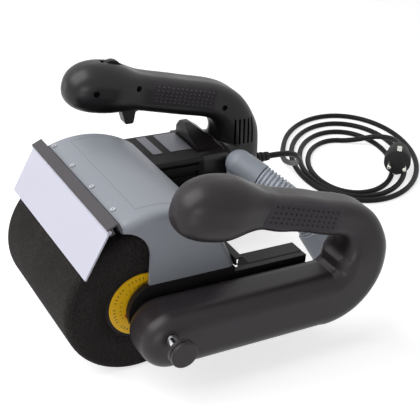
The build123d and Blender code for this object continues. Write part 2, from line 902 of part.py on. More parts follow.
with BuildPart() as front_channel:
    with BuildSketch(Plane.YZ.offset(-hood_half)):
        Polygon(*profile_points(front_bead, inward, outward, front_corners), align=None)
        with Locations((hood_centre_y, hood_centre_z)):
            Circle(flange_radius - flange_thick, mode=Mode.SUBTRACT)
    extrude(amount=2 * hood_half)
    with BuildSketch(Plane.YZ.offset(-flange_half)):
        with Locations((hood_centre_y, hood_centre_z)):
            Circle(flange_radius)
            Circle(flange_radius - flange_thick, mode=Mode.SUBTRACT)
        with Locations(((flange_start + flange_stop_y) / 2, hood_centre_z + hood_radius)):
            Rectangle(channel_flange, hood_radius, mode=Mode.INTERSECT)
    extrude(amount=2 * flange_half)
    for x in screw_places:
        with BuildSketch(channel_screw_plane(x)):
            Circle(screw_radius + seat_clearance)
        extrude(amount=-screw_length, mode=Mode.SUBTRACT)
keep(front_channel, "front_channel")
hung_plate(front_bead, plate_lean, plate_length, -hood_half, hood_half, "deflector_plate")

cover_face = Plane(origin=(gear_outer_x - cover_thick, 0, drum_radius), x_dir=(0, 1, 0), z_dir=(-1, 0, 0))
with BuildPart() as panel_screws:
    for x in screw_places:
        with BuildSketch(channel_screw_plane(x)):
            Circle(screw_head_radius)
        extrude(amount=screw_head_height)
        with BuildSketch(channel_screw_plane(x)):
            Circle(screw_radius)
        extrude(amount=-screw_length)
    for radius, height in ((screw_head_radius, screw_head_height), (screw_radius, -screw_length)):
        with BuildSketch(cover_face):
            with PolarLocations(cover_screw_ring, cover_screws, start_angle=cover_screw_turn):
                Circle(radius)
        extrude(amount=height)
keep(panel_screws, "panel_screws")

# Rear channel on the back of the hood and its short flap
rear_bead = (hood_rear_y + bead_shell, rear_channel_z)
rear_corners = [(-bead_shell, bead_shell), (bead_shell, bead_shell), (bead_shell, -bead_shell),
                (rear_lip, -bead_shell), (rear_lip, -bead_clear), (bead_clear, -bead_clear),
                (bead_clear, bead_clear), (-bead_shell, bead_clear)]
with BuildPart() as rear_channel:
    with BuildSketch(Plane.YZ.offset(-hood_half)):
        Polygon(*profile_points(rear_bead, (-1, 0), (0, 1), rear_corners), align=None)
    extrude(amount=2 * hood_half)
keep(rear_channel, "rear_channel")
near_plate_in = side_face - plate_side_thick
bracket_in = near_plate_in - bracket_width
duct_in = duct_width - side_face
hung_plate(rear_bead, -flap_lean, flap_length, duct_in + flap_end_gap, bracket_in - flap_end_gap, "rear_flap")

# Side plates under the hood's walls
hood_screw_places = [(y, hood_screw_z - drum_radius) for y in hood_screw_y]
plate_top = hood_bottom_z - plate_hood_gap - drum_radius
plate_low = plate_low_z - drum_radius
bracket_rise = bracket_top_z - drum_radius


def side_plate(side, hole_radius, rear_corners, bolts):
    inner_face = Plane(origin=(side * near_plate_in, 0, drum_radius), x_dir=(0, 1, 0), z_dir=(1, 0, 0))
    flange_face = Plane(origin=(side * (hood_inner - seat_clearance), 0, drum_radius),
                        x_dir=(0, 1, 0), z_dir=(1, 0, 0))
    with BuildPart() as plate:
        with BuildSketch(inner_face):
            with BuildLine():
                Polyline((0, plate_top), (hood_rear_y, plate_top), *rear_corners, (0, plate_low))
                ThreePointArc((0, plate_low), (-plate_nose, (plate_low + plate_top) / 2), (0, plate_top))
            make_face()
        extrude(amount=side * plate_side_thick)
        with BuildSketch(flange_face):
            with Locations(((flange_start_y + flange_end_y) / 2,
                            (flange_low_z + flange_high_z) / 2 - drum_radius)):
                Rectangle(flange_end_y - flange_start_y, flange_high_z - flange_low_z)
        extrude(amount=-side * flange_deep)
        with BuildSketch(inner_face):
            Circle(hole_radius)
        extrude(amount=side * plate_side_thick, mode=Mode.SUBTRACT)
        with BuildSketch(flange_face):
            with Locations(*hood_screw_places):
                Circle(hood_screw_radius + seat_clearance)
        extrude(amount=-side * flange_deep, mode=Mode.SUBTRACT)
        if bolts:
            with BuildSketch(inner_face):
                with Locations(*bolts):
                    Circle(arm_bolt_radius + seat_clearance)
            extrude(amount=side * plate_side_thick, mode=Mode.SUBTRACT)
            with BuildSketch(inner_face):
                with Locations(*bolts):
                    Circle(arm_bolt_head + seat_clearance)
            extrude(amount=side * plate_side_thick / 2, mode=Mode.SUBTRACT)
    return plate


arm_bolt_places = [(y, arm_bolt_z - drum_radius) for y in arm_bolt_y]
near_rear = ((hood_rear_y, bracket_rise), (bracket_rear_y, bracket_rise), (bracket_rear_y, plate_low))
near_plate = side_plate(1, pin_radius + pin_room, near_rear, arm_bolt_places)
keep(near_plate, "near_side_plate")
far_plate = side_plate(-1, shaft_radius + shaft_hole_room, ((hood_rear_y, plate_low),), ())
keep(far_plate, "far_side_plate")

# Near bracket on the inside of the side plate, and its leg
bracket_x = (bracket_in + near_plate_in) / 2
bracket_y = (bracket_front_y + bracket_rear_y) / 2
bracket_long = bracket_rear_y - bracket_front_y
leg_y = bracket_rear_y - leg_length / 2
with BuildPart() as near_bracket:
    with BuildSketch(Plane(origin=(bracket_x, bracket_y, bracket_low_z))):
        Rectangle(bracket_width, bracket_long)
    extrude(amount=bracket_top_z - bracket_low_z)
    fillet(near_bracket.edges().filter_by(Axis.Y).group_by(Axis.Z)[-1], bracket_wall)
    with BuildSketch(Plane(origin=(bracket_x, bracket_y, bracket_low_z))):
        Rectangle(bracket_width - 2 * bracket_wall, bracket_long - 2 * bracket_wall)
    extrude(amount=bracket_top_z - bracket_low_z - bracket_wall, mode=Mode.SUBTRACT)
    with BuildSketch(Plane(origin=(bracket_x, leg_y, foot_height))):
        Rectangle(bracket_width, leg_length)
    extrude(amount=bracket_low_z + bracket_wall - foot_height)
keep(near_bracket, "near_bracket")


def bulb_share(part):
    """How much of the bulb's swelling is reached along it, from the grip to its round end."""
    if part <= bulb_peak:
        return 1
    return (1 - ((part - bulb_peak) / (1 - bulb_peak)) ** bulb_fullness) ** (1 / bulb_fullness)


def ease(start, end, part):
    return start + (end - start) * (1 - math.cos(math.pi * part)) / 2


def grip_stations(start, angle, grip, bulb, grip_length, bulb_length, drop, droop):
    """Sections along a straight grip and the bulb at its end: (y, z, angle, width, thickness, corner)."""
    heading = (math.cos(math.radians(angle)), math.sin(math.radians(angle)))
    stations = []
    for part in grip_steps:
        run = grip_length * part
        stations.append((start[0] + heading[0] * run, start[1] + heading[1] * run, angle,
                         grip[0], grip[1], corner_share * min(grip)))
    for part in bulb_steps:
        run = grip_length + bulb_length * part
        swell = min(part / bulb_peak, 1)
        low = ease(0, drop, swell) + droop * max(0, (part - droop_start) / (1 - droop_start)) ** 2
        width = ease(grip[0], bulb[0], swell) * bulb_share(part)
        thick = ease(grip[1], bulb[1], swell) * bulb_share(part)
        share = ease(corner_share, bulb_corner_share, swell)
        stations.append((start[0] + heading[0] * run - heading[1] * low,
                         start[1] + heading[1] * run + heading[0] * low, angle,
                         width, thick, share * min(width, thick)))
    return stations


def section_loft(stations, middle_x, inset):
    """Smooth body through rounded sections; an inset body leaves a wall at the round end."""
    with BuildPart() as body:
        for y, z, angle, width, thick, corner in stations:
            turn = math.radians(angle)
            plane = Plane(origin=(middle_x, y, z), x_dir=(1, 0, 0),
                          z_dir=(0, math.cos(turn), math.sin(turn)))
            with BuildSketch(plane):
                RectangleRounded(width - 2 * inset, thick - 2 * inset, max(corner - inset, least_corner))
        loft()
    return body


def fan_section(corner, gap, centre, radius, angle):
    """Middle and thickness of a section from just outside the inner corner to the outer circle."""
    turn = math.radians(angle)
    out = (math.sin(turn), -math.cos(turn))
    off = (corner[0] - centre[0], corner[1] - centre[1])
    along = off[0] * out[0] + off[1] * out[1]
    reach = -along + math.sqrt(along ** 2 + radius ** 2 - off[0] ** 2 - off[1] ** 2)
    middle = (reach + gap) / 2
    return (corner[0] + out[0] * middle, corner[1] + out[1] * middle), reach - gap


def loop_section(centre, radius, angle, thick):
    turn = math.radians(angle)
    reach = radius - thick / 2
    return (centre[0] + reach * math.sin(turn), centre[1] - reach * math.cos(turn))


# Near arm: straight box with a round front, turned up and back over itself into the grip
near_corner = (near_corner_y, arm_low_z + arm_height + near_corner_gap)
near_centre = (near_loop_y, near_loop_z)
near_stations = [(arm_straight, arm_mid_z, 0, arm_width, arm_height, arm_corner),
                 ((arm_straight + near_corner_y) / 2, arm_mid_z, 0, arm_width, arm_height, arm_corner)]
for angle in fan_steps:
    middle, rear_thick = fan_section(near_corner, near_corner_gap, near_centre, near_loop_radius, angle)
    near_stations.append((*middle, angle, arm_width, rear_thick, arm_corner))
for part in loop_parts:
    angle = 90 + part * (near_loop_end - 90)
    thick = ease(rear_thick, near_grip_thick, part)
    near_stations.append((*loop_section(near_centre, near_loop_radius, angle, thick), angle,
                          ease(arm_width, near_grip_width, part), thick,
                          ease(arm_corner, corner_share * near_grip_thick, part)))
near_grip_start = loop_section(near_centre, near_loop_radius, near_loop_end, near_grip_thick)
near_stations += grip_stations(near_grip_start, near_loop_end, (near_grip_width, near_grip_thick),
                               (near_bulb_width, near_bulb_thick), near_grip_length, near_bulb_length,
                               near_bulb_drop, near_bulb_droop)


def near_arm_body(inset):
    reach = arm_height / 2 - inset
    stations = near_stations[:-inner_short] if inset else near_stations
    loop = section_loft(stations, arm_x, inset + seam_step)
    box_end = arm_straight + seam_lap
    with BuildPart() as body:
        with BuildSketch(Plane(origin=(side_face + inset, 0, arm_mid_z), x_dir=(0, 1, 0), z_dir=(1, 0, 0))):
            with Locations((arm_nose_y, 0)):
                Circle(reach)
            with Locations(((arm_nose_y + box_end) / 2, 0)):
                Rectangle(box_end - arm_nose_y, 2 * reach)
        extrude(amount=arm_width - 2 * inset)
        outline = [e for e in body.edges() if abs(e.center().X - arm_x) > edge_slack]
        outline = [e for e in outline if e.center().Y < box_end - edge_slack]
        fillet(outline, arm_corner - inset)
        add(loop.part)
    return body


near_outer = near_arm_body(0)
near_inner = near_arm_body(arm_wall)


def across(middle_x, place):
    """Plane square to X through a point of a handle's middle plane."""
    return Plane(origin=(middle_x, *place), x_dir=(0, 1, 0), z_dir=(1, 0, 0))


def shell_body(outer, inner, middle_x, side, bosses):
    """Hollow moulding with screw posts; the screws' heads sink in from the given side."""
    with BuildPart() as posts:
        for place in bosses:
            with BuildSketch(across(middle_x, place)):
                Circle(boss_radius)
            extrude(amount=2 * motor_half, both=True)
        add(outer.part, mode=Mode.INTERSECT)
    with BuildPart() as body:
        add(outer.part)
        add(inner.part, mode=Mode.SUBTRACT)
        add(posts.part)
        for place in bosses:
            with BuildSketch(across(middle_x - boss_depth, place)):
                Circle(handle_screw_radius + seat_clearance)
            extrude(amount=2 * boss_depth, mode=Mode.SUBTRACT)
            with BuildSketch(across(middle_x + side * boss_depth, place)):
                Circle(handle_head_radius + seat_clearance)
            extrude(amount=side * 2 * motor_half, mode=Mode.SUBTRACT)
    return body


def keep_half(body, middle_x, side, label):
    with BuildPart() as half:
        add(body.part)
        split(bisect_by=Plane(origin=(middle_x, 0, 0), z_dir=(side, 0, 0)), keep=Keep.TOP)
    keep(half, label)


# Near handle shells, with the hole for the release pin and posts for the arm's bolts
bush_radius = pin_radius + running_clearance + bush_wall
near_hollow = shell_body(near_outer, near_inner, arm_x, -1, near_bosses)
with BuildPart() as near_shells:
    add(near_hollow.part)
    for y in arm_bolt_y:
        with BuildSketch(Plane(origin=(side_face + arm_wall / 2, y, arm_bolt_z), z_dir=(1, 0, 0))):
            Circle(bolt_boss_radius)
        extrude(amount=arm_bolt_length - arm_wall / 2)
        with BuildSketch(Plane(origin=(side_face, y, arm_bolt_z), z_dir=(1, 0, 0))):
            Circle(arm_bolt_radius + seat_clearance)
        extrude(amount=arm_bolt_length - plate_side_thick / 2, mode=Mode.SUBTRACT)
    with BuildSketch(drum_plane(side_face)):
        Circle(pin_radius + pin_room)
    extrude(amount=2 * arm_wall, mode=Mode.SUBTRACT)
    with BuildSketch(drum_plane(arm_outer)):
        Circle(pin_radius + pin_room)
    extrude(amount=-2 * arm_wall, mode=Mode.SUBTRACT)
    with BuildSketch(drum_plane(arm_outer - bush_lip)):
        Circle(bush_radius + seat_clearance)
    extrude(amount=-2 * arm_wall, mode=Mode.SUBTRACT)
    with BuildSketch(drum_plane(arm_outer - arm_wall)):
        Circle(bush_radius + bush_flange + seat_clearance)
    extrude(amount=-2 * arm_wall, mode=Mode.SUBTRACT)
keep_half(near_shells, arm_x, -1, "near_handle_inner_shell")
keep_half(near_shells, arm_x, 1, "near_handle_outer_shell")

with BuildPart() as arm_bolts:
    for y in arm_bolt_y:
        with BuildSketch(Plane(origin=(near_plate_in, y, arm_bolt_z), z_dir=(1, 0, 0))):
            Circle(arm_bolt_head)
        extrude(amount=plate_side_thick / 2)
        with BuildSketch(Plane(origin=(near_plate_in, y, arm_bolt_z), z_dir=(1, 0, 0))):
            Circle(arm_bolt_radius)
        extrude(amount=arm_bolt_length)
keep(arm_bolts, "arm_bolts")

with BuildPart() as hood_side_screws:
    for side in (1, -1):
        for y in hood_screw_y:
            start = (side * (hood_inner - seat_clearance - flange_deep), y, hood_screw_z)
            with BuildSketch(Plane(origin=start, z_dir=(side, 0, 0))):
                Circle(hood_screw_radius)
            extrude(amount=flange_deep + hood_screw_bite)
            with BuildSketch(Plane(origin=start, z_dir=(-side, 0, 0))):
                Circle(hood_screw_head)
            extrude(amount=screw_head_height)
keep(hood_side_screws, "hood_side_screws")

# Release pin: spring loaded along the drum's axis into the pilot bush
pin_tip_x = shaft_end - pin_travel
collar_x = side_face + arm_wall + collar_stand
bush_inner_x = arm_outer - arm_wall - bush_flange
pin_cap_x = arm_outer + pin_stand_off
with BuildPart() as pin_bush:
    with BuildSketch(drum_plane(bush_inner_x)):
        Circle(bush_radius + bush_flange)
    extrude(amount=bush_flange)
    with BuildSketch(drum_plane(bush_inner_x)):
        Circle(bush_radius)
    extrude(amount=bush_flange + arm_wall - bush_lip)
    with BuildSketch(drum_plane(bush_inner_x)):
        Circle(pin_radius + running_clearance)
    extrude(amount=bush_flange + arm_wall, mode=Mode.SUBTRACT)
keep(pin_bush, "release_pin_bush")

with BuildPart() as release_pin:
    with BuildSketch(drum_plane(pin_tip_x)):
        Circle(pin_tip_radius)
    extrude(amount=pin_tip_length)
    with BuildSketch(drum_plane(pin_tip_x + pin_tip_length)):
        Circle(pin_radius)
    extrude(amount=pin_cap_x - pin_tip_x - pin_tip_length)
    with BuildSketch(drum_plane(collar_x)):
        Circle(pin_collar_radius)
    extrude(amount=pin_collar_length)
    chamfer(release_pin.edges().group_by(Axis.X)[0], pin_room)
keep(release_pin, "release_pin")

with BuildPart() as release_cap:
    with BuildSketch(drum_plane(pin_cap_x)):
        Circle(cap_radius)
    extrude(amount=cap_length)
    fillet(release_cap.edges().group_by(Axis.X)[-1], cap_groove)
    with BuildSketch(drum_plane(pin_cap_x + cap_length / 2 - cap_groove / 2)):
        Circle(cap_radius)
        Circle(cap_radius - cap_groove, mode=Mode.SUBTRACT)
    extrude(amount=cap_groove, mode=Mode.SUBTRACT)
keep(release_cap, "release_cap")

spring_start = collar_x + pin_collar_length + spring_wire / 2
spring_run = bush_inner_x - spring_wire / 2 - spring_start
spring_mid = pin_radius + spring_room + spring_wire / 2
release_wire = biarc_wire(helix_stops(Vector(spring_start, 0, drum_radius), side_x, up_z, spring_mid,
                                      spring_run / spring_turns, spring_turns))
release_spring = swept_round(release_wire, spring_wire / 2)
print("release spring gap", spring_run / spring_turns - spring_wire)
keep(release_spring, "release_spring")

# Motor handle: rooted on the motor's rear, turned up and forward into the grip
far_corner = (far_corner_y, motor_top + far_corner_gap)
far_centre = (far_loop_y, far_loop_z)
motor_side = 2 * motor_half
root_width = motor_side - 2 * root_step
far_stations = [(motor_rear_y, drum_radius, 0, root_width, motor_side, root_corner),
                (far_loop_y, drum_radius, 0, root_width, motor_side, root_corner)]
far_loop_corner = corner_share * far_loop_width
for angle in fan_steps:
    middle, rear_thick = fan_section(far_corner, far_corner_gap, far_centre, far_loop_radius, angle)
    far_stations.append((*middle, angle, ease(root_width, far_loop_width, angle / 90), rear_thick,
                         ease(root_corner, far_loop_corner, angle / 90)))
for part in loop_parts:
    angle = 90 + part * (far_loop_end - 90)
    thick = ease(rear_thick, far_grip_thick, part)
    far_stations.append((*loop_section(far_centre, far_loop_radius, angle, thick), angle,
                         ease(far_loop_width, far_grip_width, part), thick,
                         ease(far_loop_corner, corner_share * far_grip_thick, part)))
far_grip_start = loop_section(far_centre, far_loop_radius, far_loop_end, far_grip_thick)
far_stations += grip_stations(far_grip_start, far_loop_end, (far_grip_width, far_grip_thick),
                              (far_bulb_width, far_bulb_thick), far_grip_length, far_bulb_length, 0,
                              far_bulb_droop)
far_outer = section_loft(far_stations, motor_x, 0)
far_inner_start = (motor_rear_y - open_step, *far_stations[0][1:])
far_inner = section_loft([far_inner_start] + far_stations[1:-inner_short], motor_x, handle_wall)

trigger_half = trigger_width / 2 + trigger_room
wheel_half = wheel_width / 2 + wheel_room
wheel_place = (wheel_y, wheel_z)
axle_half = trigger_half + boss_depth
far_hollow = shell_body(far_outer, far_inner, motor_x, 1, far_bosses)
with BuildPart() as pivot_posts:
    for place, half in ((trigger_pivot, trigger_half), (wheel_place, wheel_half)):
        with BuildSketch(across(motor_x, place)):
            Circle(pivot_boss_radius)
        extrude(amount=motor_half, both=True)
        with BuildSketch(across(motor_x, place)):
            Circle(pivot_boss_radius)
        extrude(amount=half, both=True, mode=Mode.SUBTRACT)
    add(far_outer.part, mode=Mode.INTERSECT)
with BuildPart() as far_shells:
    add(far_hollow.part)
    add(pivot_posts.part)
    for place in (trigger_pivot, wheel_place):
        with BuildSketch(across(motor_x, place)):
            Circle(pivot_radius + seat_clearance)
        extrude(amount=axle_half, both=True, mode=Mode.SUBTRACT)
    slot_mid = (sum(trigger_slot) / 2, trigger_fin[0][1])
    with BuildSketch(across(motor_x, slot_mid)):
        Rectangle(trigger_slot[1] - trigger_slot[0], 2 * (trigger_slot_top - slot_mid[1]))
    extrude(amount=trigger_half, both=True, mode=Mode.SUBTRACT)
    with BuildSketch(across(motor_x, (wheel_y, wheel_z + wheel_radius))):
        Rectangle(2 * (wheel_radius + wheel_room), 2 * wheel_radius)
    extrude(amount=wheel_half, both=True, mode=Mode.SUBTRACT)
    with BuildSketch(across(motor_x, (wheel_y, wheel_z))):
        Circle(wheel_radius + wheel_room)
    extrude(amount=wheel_half, both=True, mode=Mode.SUBTRACT)
    with BuildSketch(across(motor_x + far_loop_width / 4, (slot_y + 2 * slot_pitch, slot_z))):
        with GridLocations(slot_pitch, 0, vent_count, 1):
            SlotOverall(slot_height, vent_width, rotation=90)
    extrude(amount=far_loop_width, mode=Mode.SUBTRACT)
    with BuildSketch(Plane(origin=(motor_x, far_corner_y + boss_radius, relief_z), z_dir=(0, 1, 0))):
        Circle(relief_base_radius + seat_clearance)
    extrude(amount=far_loop_radius, mode=Mode.SUBTRACT)
keep_half(far_shells, motor_x, 1, "motor_handle_inner_shell")
keep_half(far_shells, motor_x, -1, "motor_handle_outer_shell")

with BuildPart() as handle_screws:
    for middle_x, side, bosses in ((arm_x, -1, near_bosses), (motor_x, 1, far_bosses)):
        for place in bosses:
            with BuildSketch(across(middle_x - boss_depth, place)):
                Circle(handle_screw_radius)
            extrude(amount=2 * boss_depth)
            with BuildSketch(across(middle_x + side * boss_depth, place)):
                Circle(handle_head_radius)
            extrude(amount=side * handle_head_height)
keep(handle_screws, "handle_screws")

with BuildPart() as wiring_saddle:
    saddle_foot = (motor_x, saddle_start_y, motor_top + saddle_gap)
    with BuildSketch(Plane(origin=saddle_foot, x_dir=(1, 0, 0), z_dir=(0, -1, 0))):
        Polygon((saddle_near, 0), (saddle_near, saddle_lip), (-saddle_ridge, saddle_rise),
                (-saddle_far + saddle_lip, saddle_rise), (-saddle_far, saddle_rise - saddle_lip),
                (-saddle_far, 0), align=None)
    extrude(amount=-saddle_length)
    with BuildSketch(Plane(origin=saddle_foot, x_dir=(0, 1, 0), z_dir=(1, 0, 0))):
        Polygon((0, 0), (0, saddle_front), (saddle_flat[0], saddle_rise), (saddle_flat[1], saddle_rise),
                (saddle_length, saddle_back), (saddle_length, 0), align=None)
    extrude(amount=motor_half, both=True, mode=Mode.INTERSECT)
    fillet(wiring_saddle.edges().group_by(Axis.Z)[-1], saddle_round)
keep(wiring_saddle, "wiring_cover")

# Trigger, its pin and spring, the switch, and the speed wheel on its axle
with BuildPart() as trigger:
    with BuildSketch(Plane(origin=(motor_x, 0, 0), x_dir=(0, 1, 0), z_dir=(1, 0, 0))):
        Polygon(*trigger_fin, *trigger_body, align=None)
        with Locations(trigger_pivot):
            Circle(pivot_radius + running_clearance, mode=Mode.SUBTRACT)
    extrude(amount=trigger_width / 2, both=True)
    fillet(trigger.edges().filter_by(Axis.X).group_by(Axis.Z)[0], trigger_round)
keep(trigger, "trigger")

with BuildPart() as switch_module:
    with BuildSketch(Plane(origin=(motor_x, (switch_low[0] + switch_high[0]) / 2, switch_low[1]))):
        Rectangle(2 * switch_half, switch_high[0] - switch_low[0])
    extrude(amount=switch_high[1] - switch_low[1])
keep(switch_module, "switch_module")

body_top = trigger_body[2:4]
top_slope = (body_top[0][1] - body_top[1][1]) / (body_top[0][0] - body_top[1][0])
trigger_top = body_top[1][1] + (trigger_spring_y - body_top[1][0]) * top_slope
trigger_spring_start = trigger_top + trigger_spring_wire
trigger_spring_run = switch_low[1] - trigger_spring_wire / 2 - trigger_spring_start - trigger_spring_gap
trigger_wire = biarc_wire(helix_stops(Vector(motor_x, trigger_spring_y, trigger_spring_start), up_z, side_x,
                                      trigger_spring_radius, trigger_spring_run / trigger_spring_turns,
                                      trigger_spring_turns))
trigger_spring = swept_round(trigger_wire, trigger_spring_wire / 2)
print("trigger spring gap", trigger_spring_run / trigger_spring_turns - trigger_spring_wire)
keep(trigger_spring, "trigger_spring")

with BuildPart() as speed_wheel:
    with BuildSketch(across(motor_x, wheel_place)):
        Circle(wheel_radius)
        Circle(pivot_radius + running_clearance, mode=Mode.SUBTRACT)
        with PolarLocations(wheel_radius, wheel_notches):
            Circle(wheel_room, mode=Mode.SUBTRACT)
    extrude(amount=wheel_width / 2, both=True)
keep(speed_wheel, "speed_wheel")

with BuildPart() as pivot_pins:
    for place in (trigger_pivot, wheel_place):
        with BuildSketch(across(motor_x, place)):
            Circle(pivot_radius)
        extrude(amount=axle_half, both=True)
keep(pivot_pins, "pivot_pins")

# Dust duct beside the motor, the hose's elbow, the ribbed hose and its end cuff
duct_x = duct_width / 2 - side_face
duct_long = duct_rear_y - duct_start_y
duct_y = (duct_start_y + duct_rear_y) / 2
with BuildPart() as dust_duct:
    with BuildSketch(Plane(origin=(duct_x, duct_y, duct_low_z))):
        Rectangle(duct_width, duct_long)
    extrude(amount=duct_high_z - duct_low_z)
    rounded = dust_duct.edges().filter_by(Axis.Y)
    rounded += dust_duct.edges().filter_by(Axis.X).group_by(Axis.Y)[-1]
    fillet(rounded, duct_round)
    with BuildSketch(Plane(origin=(duct_x, duct_start_y, (duct_low_z + duct_high_z) / 2), z_dir=(0, 1, 0))):
        Rectangle(duct_width - 2 * duct_wall, duct_high_z - duct_low_z - 2 * duct_wall)
    extrude(amount=duct_long - duct_wall, mode=Mode.SUBTRACT)
    with BuildSketch(Plane(origin=(elbow_middle[0], elbow_middle[1], duct_high_z))):
        Circle(elbow_bore)
    extrude(amount=-2 * duct_wall, mode=Mode.SUBTRACT)
keep(dust_duct, "dust_duct")

elbow_at = Vector(*elbow_middle)
hose_leave = Vector(*hose_heading).normalized()
hose_arrive = Vector(*hose_end_heading).normalized()
with BuildPart() as hose_elbow:
    with BuildSketch(Plane(origin=(elbow_middle[0], elbow_middle[1], duct_high_z))):
        Circle(elbow_neck_radius)
    extrude(amount=elbow_middle[2] - duct_high_z)
    with BuildSketch(Plane(origin=elbow_at, z_dir=hose_leave)):
        Circle(elbow_radius)
    extrude(amount=elbow_length)
    with Locations(elbow_at):
        Sphere(elbow_radius)
    with BuildSketch(Plane(origin=(elbow_middle[0], elbow_middle[1], duct_high_z))):
        Circle(elbow_bore)
    extrude(amount=elbow_middle[2] - duct_high_z, mode=Mode.SUBTRACT)
    with BuildSketch(Plane(origin=elbow_at, z_dir=hose_leave)):
        Circle(elbow_bore)
    extrude(amount=elbow_length, mode=Mode.SUBTRACT)
keep(hose_elbow, "hose_elbow")

hose_start = elbow_at + hose_leave * elbow_length
hose_stop = Vector(*hose_end)
hose_path = biarc_wire([(hose_start, hose_leave), (hose_stop, hose_arrive)])
hose_radii = [edge.radius for edge in hose_path.edges()]
print("hose length", hose_path.length, "radii", hose_radii)
rib_level = ((0, 0), (rib_flank, 1), (rib_flank + rib_crest, 1), (2 * rib_flank + rib_crest, 0))
with BuildPart() as dust_hose:
    for rib in range(rib_count):
        for share, level in rib_level:
            spot = min((rib + share) / (rib_count - 1 + rib_level[-1][0]), 1)
            heading = hose_path % spot
            across_x = Vector(0, heading.Z, -heading.Y).normalized()
            with BuildSketch(Plane(origin=hose_path @ spot, x_dir=across_x, z_dir=heading)):
                Circle(hose_radius - rib_height * (1 - level))
    loft(ruled=True)
    with BuildSketch(Plane(origin=hose_start, z_dir=hose_leave)):
        Circle(hose_bore_radius)
    sweep(path=hose_path, mode=Mode.SUBTRACT)
keep(dust_hose, "dust_hose", on_cord=True)

with BuildPart() as end_cuff:
    with BuildSketch(Plane(origin=hose_stop, z_dir=hose_arrive)):
        Circle(end_cuff_radius)
        Circle(hose_bore_radius, mode=Mode.SUBTRACT)
    extrude(amount=end_cuff_length)
    fillet(end_cuff.edges().filter_by(GeomType.CIRCLE).group_by(SortBy.RADIUS)[-1], rib_height)
keep(end_cuff, "hose_end_cuff", on_cord=True)

# Mains cord: strain relief, lead down to the floor, flat coil, plug
relief_start_y = far_loop_y + math.sqrt(far_loop_radius ** 2 - (far_loop_z - relief_z) ** 2)
relief_end_y = relief_start_y + relief_length
with BuildPart() as strain_relief:
    with BuildSketch(Plane(origin=(motor_x, relief_start_y - relief_root, relief_z), z_dir=(0, 1, 0))):
        Circle(relief_base_radius)
    extrude(amount=relief_root)
    with BuildSketch(Plane(origin=(motor_x, relief_start_y, relief_z), z_dir=(0, 1, 0))):
        Circle(relief_base_radius)
    with BuildSketch(Plane(origin=(motor_x, relief_end_y, relief_z), z_dir=(0, 1, 0))):
        Circle(relief_tip_radius)
    loft()
keep(strain_relief, "strain_relief")

cable_z = cable_radius + cable_lift
coil_u = Vector(*coil_heading, 0).normalized()
coil_w = Vector(coil_u.Y, -coil_u.X, 0)
landing = Vector(*lead_landing, cable_z)
coil_start = landing + coil_u * lead_last_run
lead_points = [Vector(motor_x, relief_end_y, relief_z)] + [Vector(*point) for point in lead_route]
lead_points += [landing, coil_start]


def bend_radii(points):
    radii = []
    for before, here, after in zip(points, points[1:], points[2:]):
        first = here - before
        second = after - here
        half_turn = math.radians(first.get_angle(second)) / 2
        radii.append(bend_share * min(first.length, second.length) / math.tan(half_turn))
    return radii


lead_radii = bend_radii(lead_points)
with BuildPart() as cord_lead:
    with BuildLine() as lead_line:
        FilletPolyline(*lead_points, radius=lead_radii)
    with BuildSketch(Plane(origin=lead_points[0], z_dir=(0, 1, 0))):
        Circle(cable_radius)
    sweep()
lead_length = lead_line.wire().length
print("lead length", lead_length, "radii", lead_radii)
print("lead volume share", cord_lead.part.volume / (math.pi * cable_radius ** 2 * lead_length))
keep(cord_lead, "cord_lead", on_cord=True)

coil_middle = coil_start + coil_w * coil_short


def coil_point(turn):
    angle = math.radians(360 * turn - 90)
    drift = Vector(*coil_drift, 0) * turn
    reach_u = (coil_long - coil_long_step * turn) * math.cos(angle)
    reach_w = (coil_short - coil_short_step * turn) * math.sin(angle)
    return coil_middle + drift + coil_u * reach_u + coil_w * reach_w


plug_ahead = Vector(*plug_heading, 0).normalized()
coil_stops = [(coil_start, coil_u)]
for step in range(1, int(coil_turns * 4) + 1):
    turn = step / 4
    ahead = (coil_point(turn + turn_step) - coil_point(turn - turn_step)).normalized()
    coil_stops.append((coil_point(turn), ahead))
coil_stops.append((Vector(*plug_start), plug_ahead))
coil_wire = biarc_wire(coil_stops)
cord_coil = swept_round(coil_wire, cable_radius)
coil_volume = math.pi * cable_radius ** 2 * coil_wire.length
print("coil length", coil_wire.length, "volume share", cord_coil.part.volume / coil_volume)
print("coil least gap", least_gap(coil_wire, cable_radius, skip_share))
print("coil radii", min(edge.radius for edge in coil_wire.edges()))
keep(cord_coil, "cord_coil", on_cord=True)

plug_at = Vector(*plug_start)
boot_end = plug_at + plug_ahead * plug_boot_length
plug_face = boot_end + plug_ahead * plug_length
with BuildPart() as plug_body:
    with BuildSketch(Plane(origin=plug_at, z_dir=plug_ahead)):
        Circle(relief_tip_radius)
    with BuildSketch(Plane(origin=boot_end, z_dir=plug_ahead)):
        Circle(plug_boot_radius)
    loft()
    with BuildSketch(Plane(origin=boot_end, z_dir=plug_ahead)):
        Circle(plug_radius)
    extrude(amount=plug_length)
    fillet(plug_body.edges().filter_by(GeomType.CIRCLE).group_by(SortBy.RADIUS)[-1], plug_pin_radius)
keep(plug_body, "plug_body", on_cord=True)

with BuildPart() as plug_pins:
    with BuildSketch(Plane(origin=plug_face, x_dir=(0, 0, 1), z_dir=plug_ahead)):
        with GridLocations(0, plug_pin_spacing, 1, 2):
            Circle(plug_pin_radius)
    extrude(amount=plug_pin_length)
    fillet(plug_pins.edges().filter_by(GeomType.CIRCLE).sort_by_distance(plug_at)[-2:], plug_pin_radius / 2)
keep(plug_pins, "plug_pins", on_cord=True)

# Rubber feet, and the leg under the motor
with BuildPart() as far_leg:
    with BuildSketch(Plane(origin=(motor_x, far_leg_y, foot_height))):
        RectangleRounded(far_leg_size, far_leg_size, leg_margin)
    extrude(amount=motor_low - foot_height)
keep(far_leg, "motor_leg")

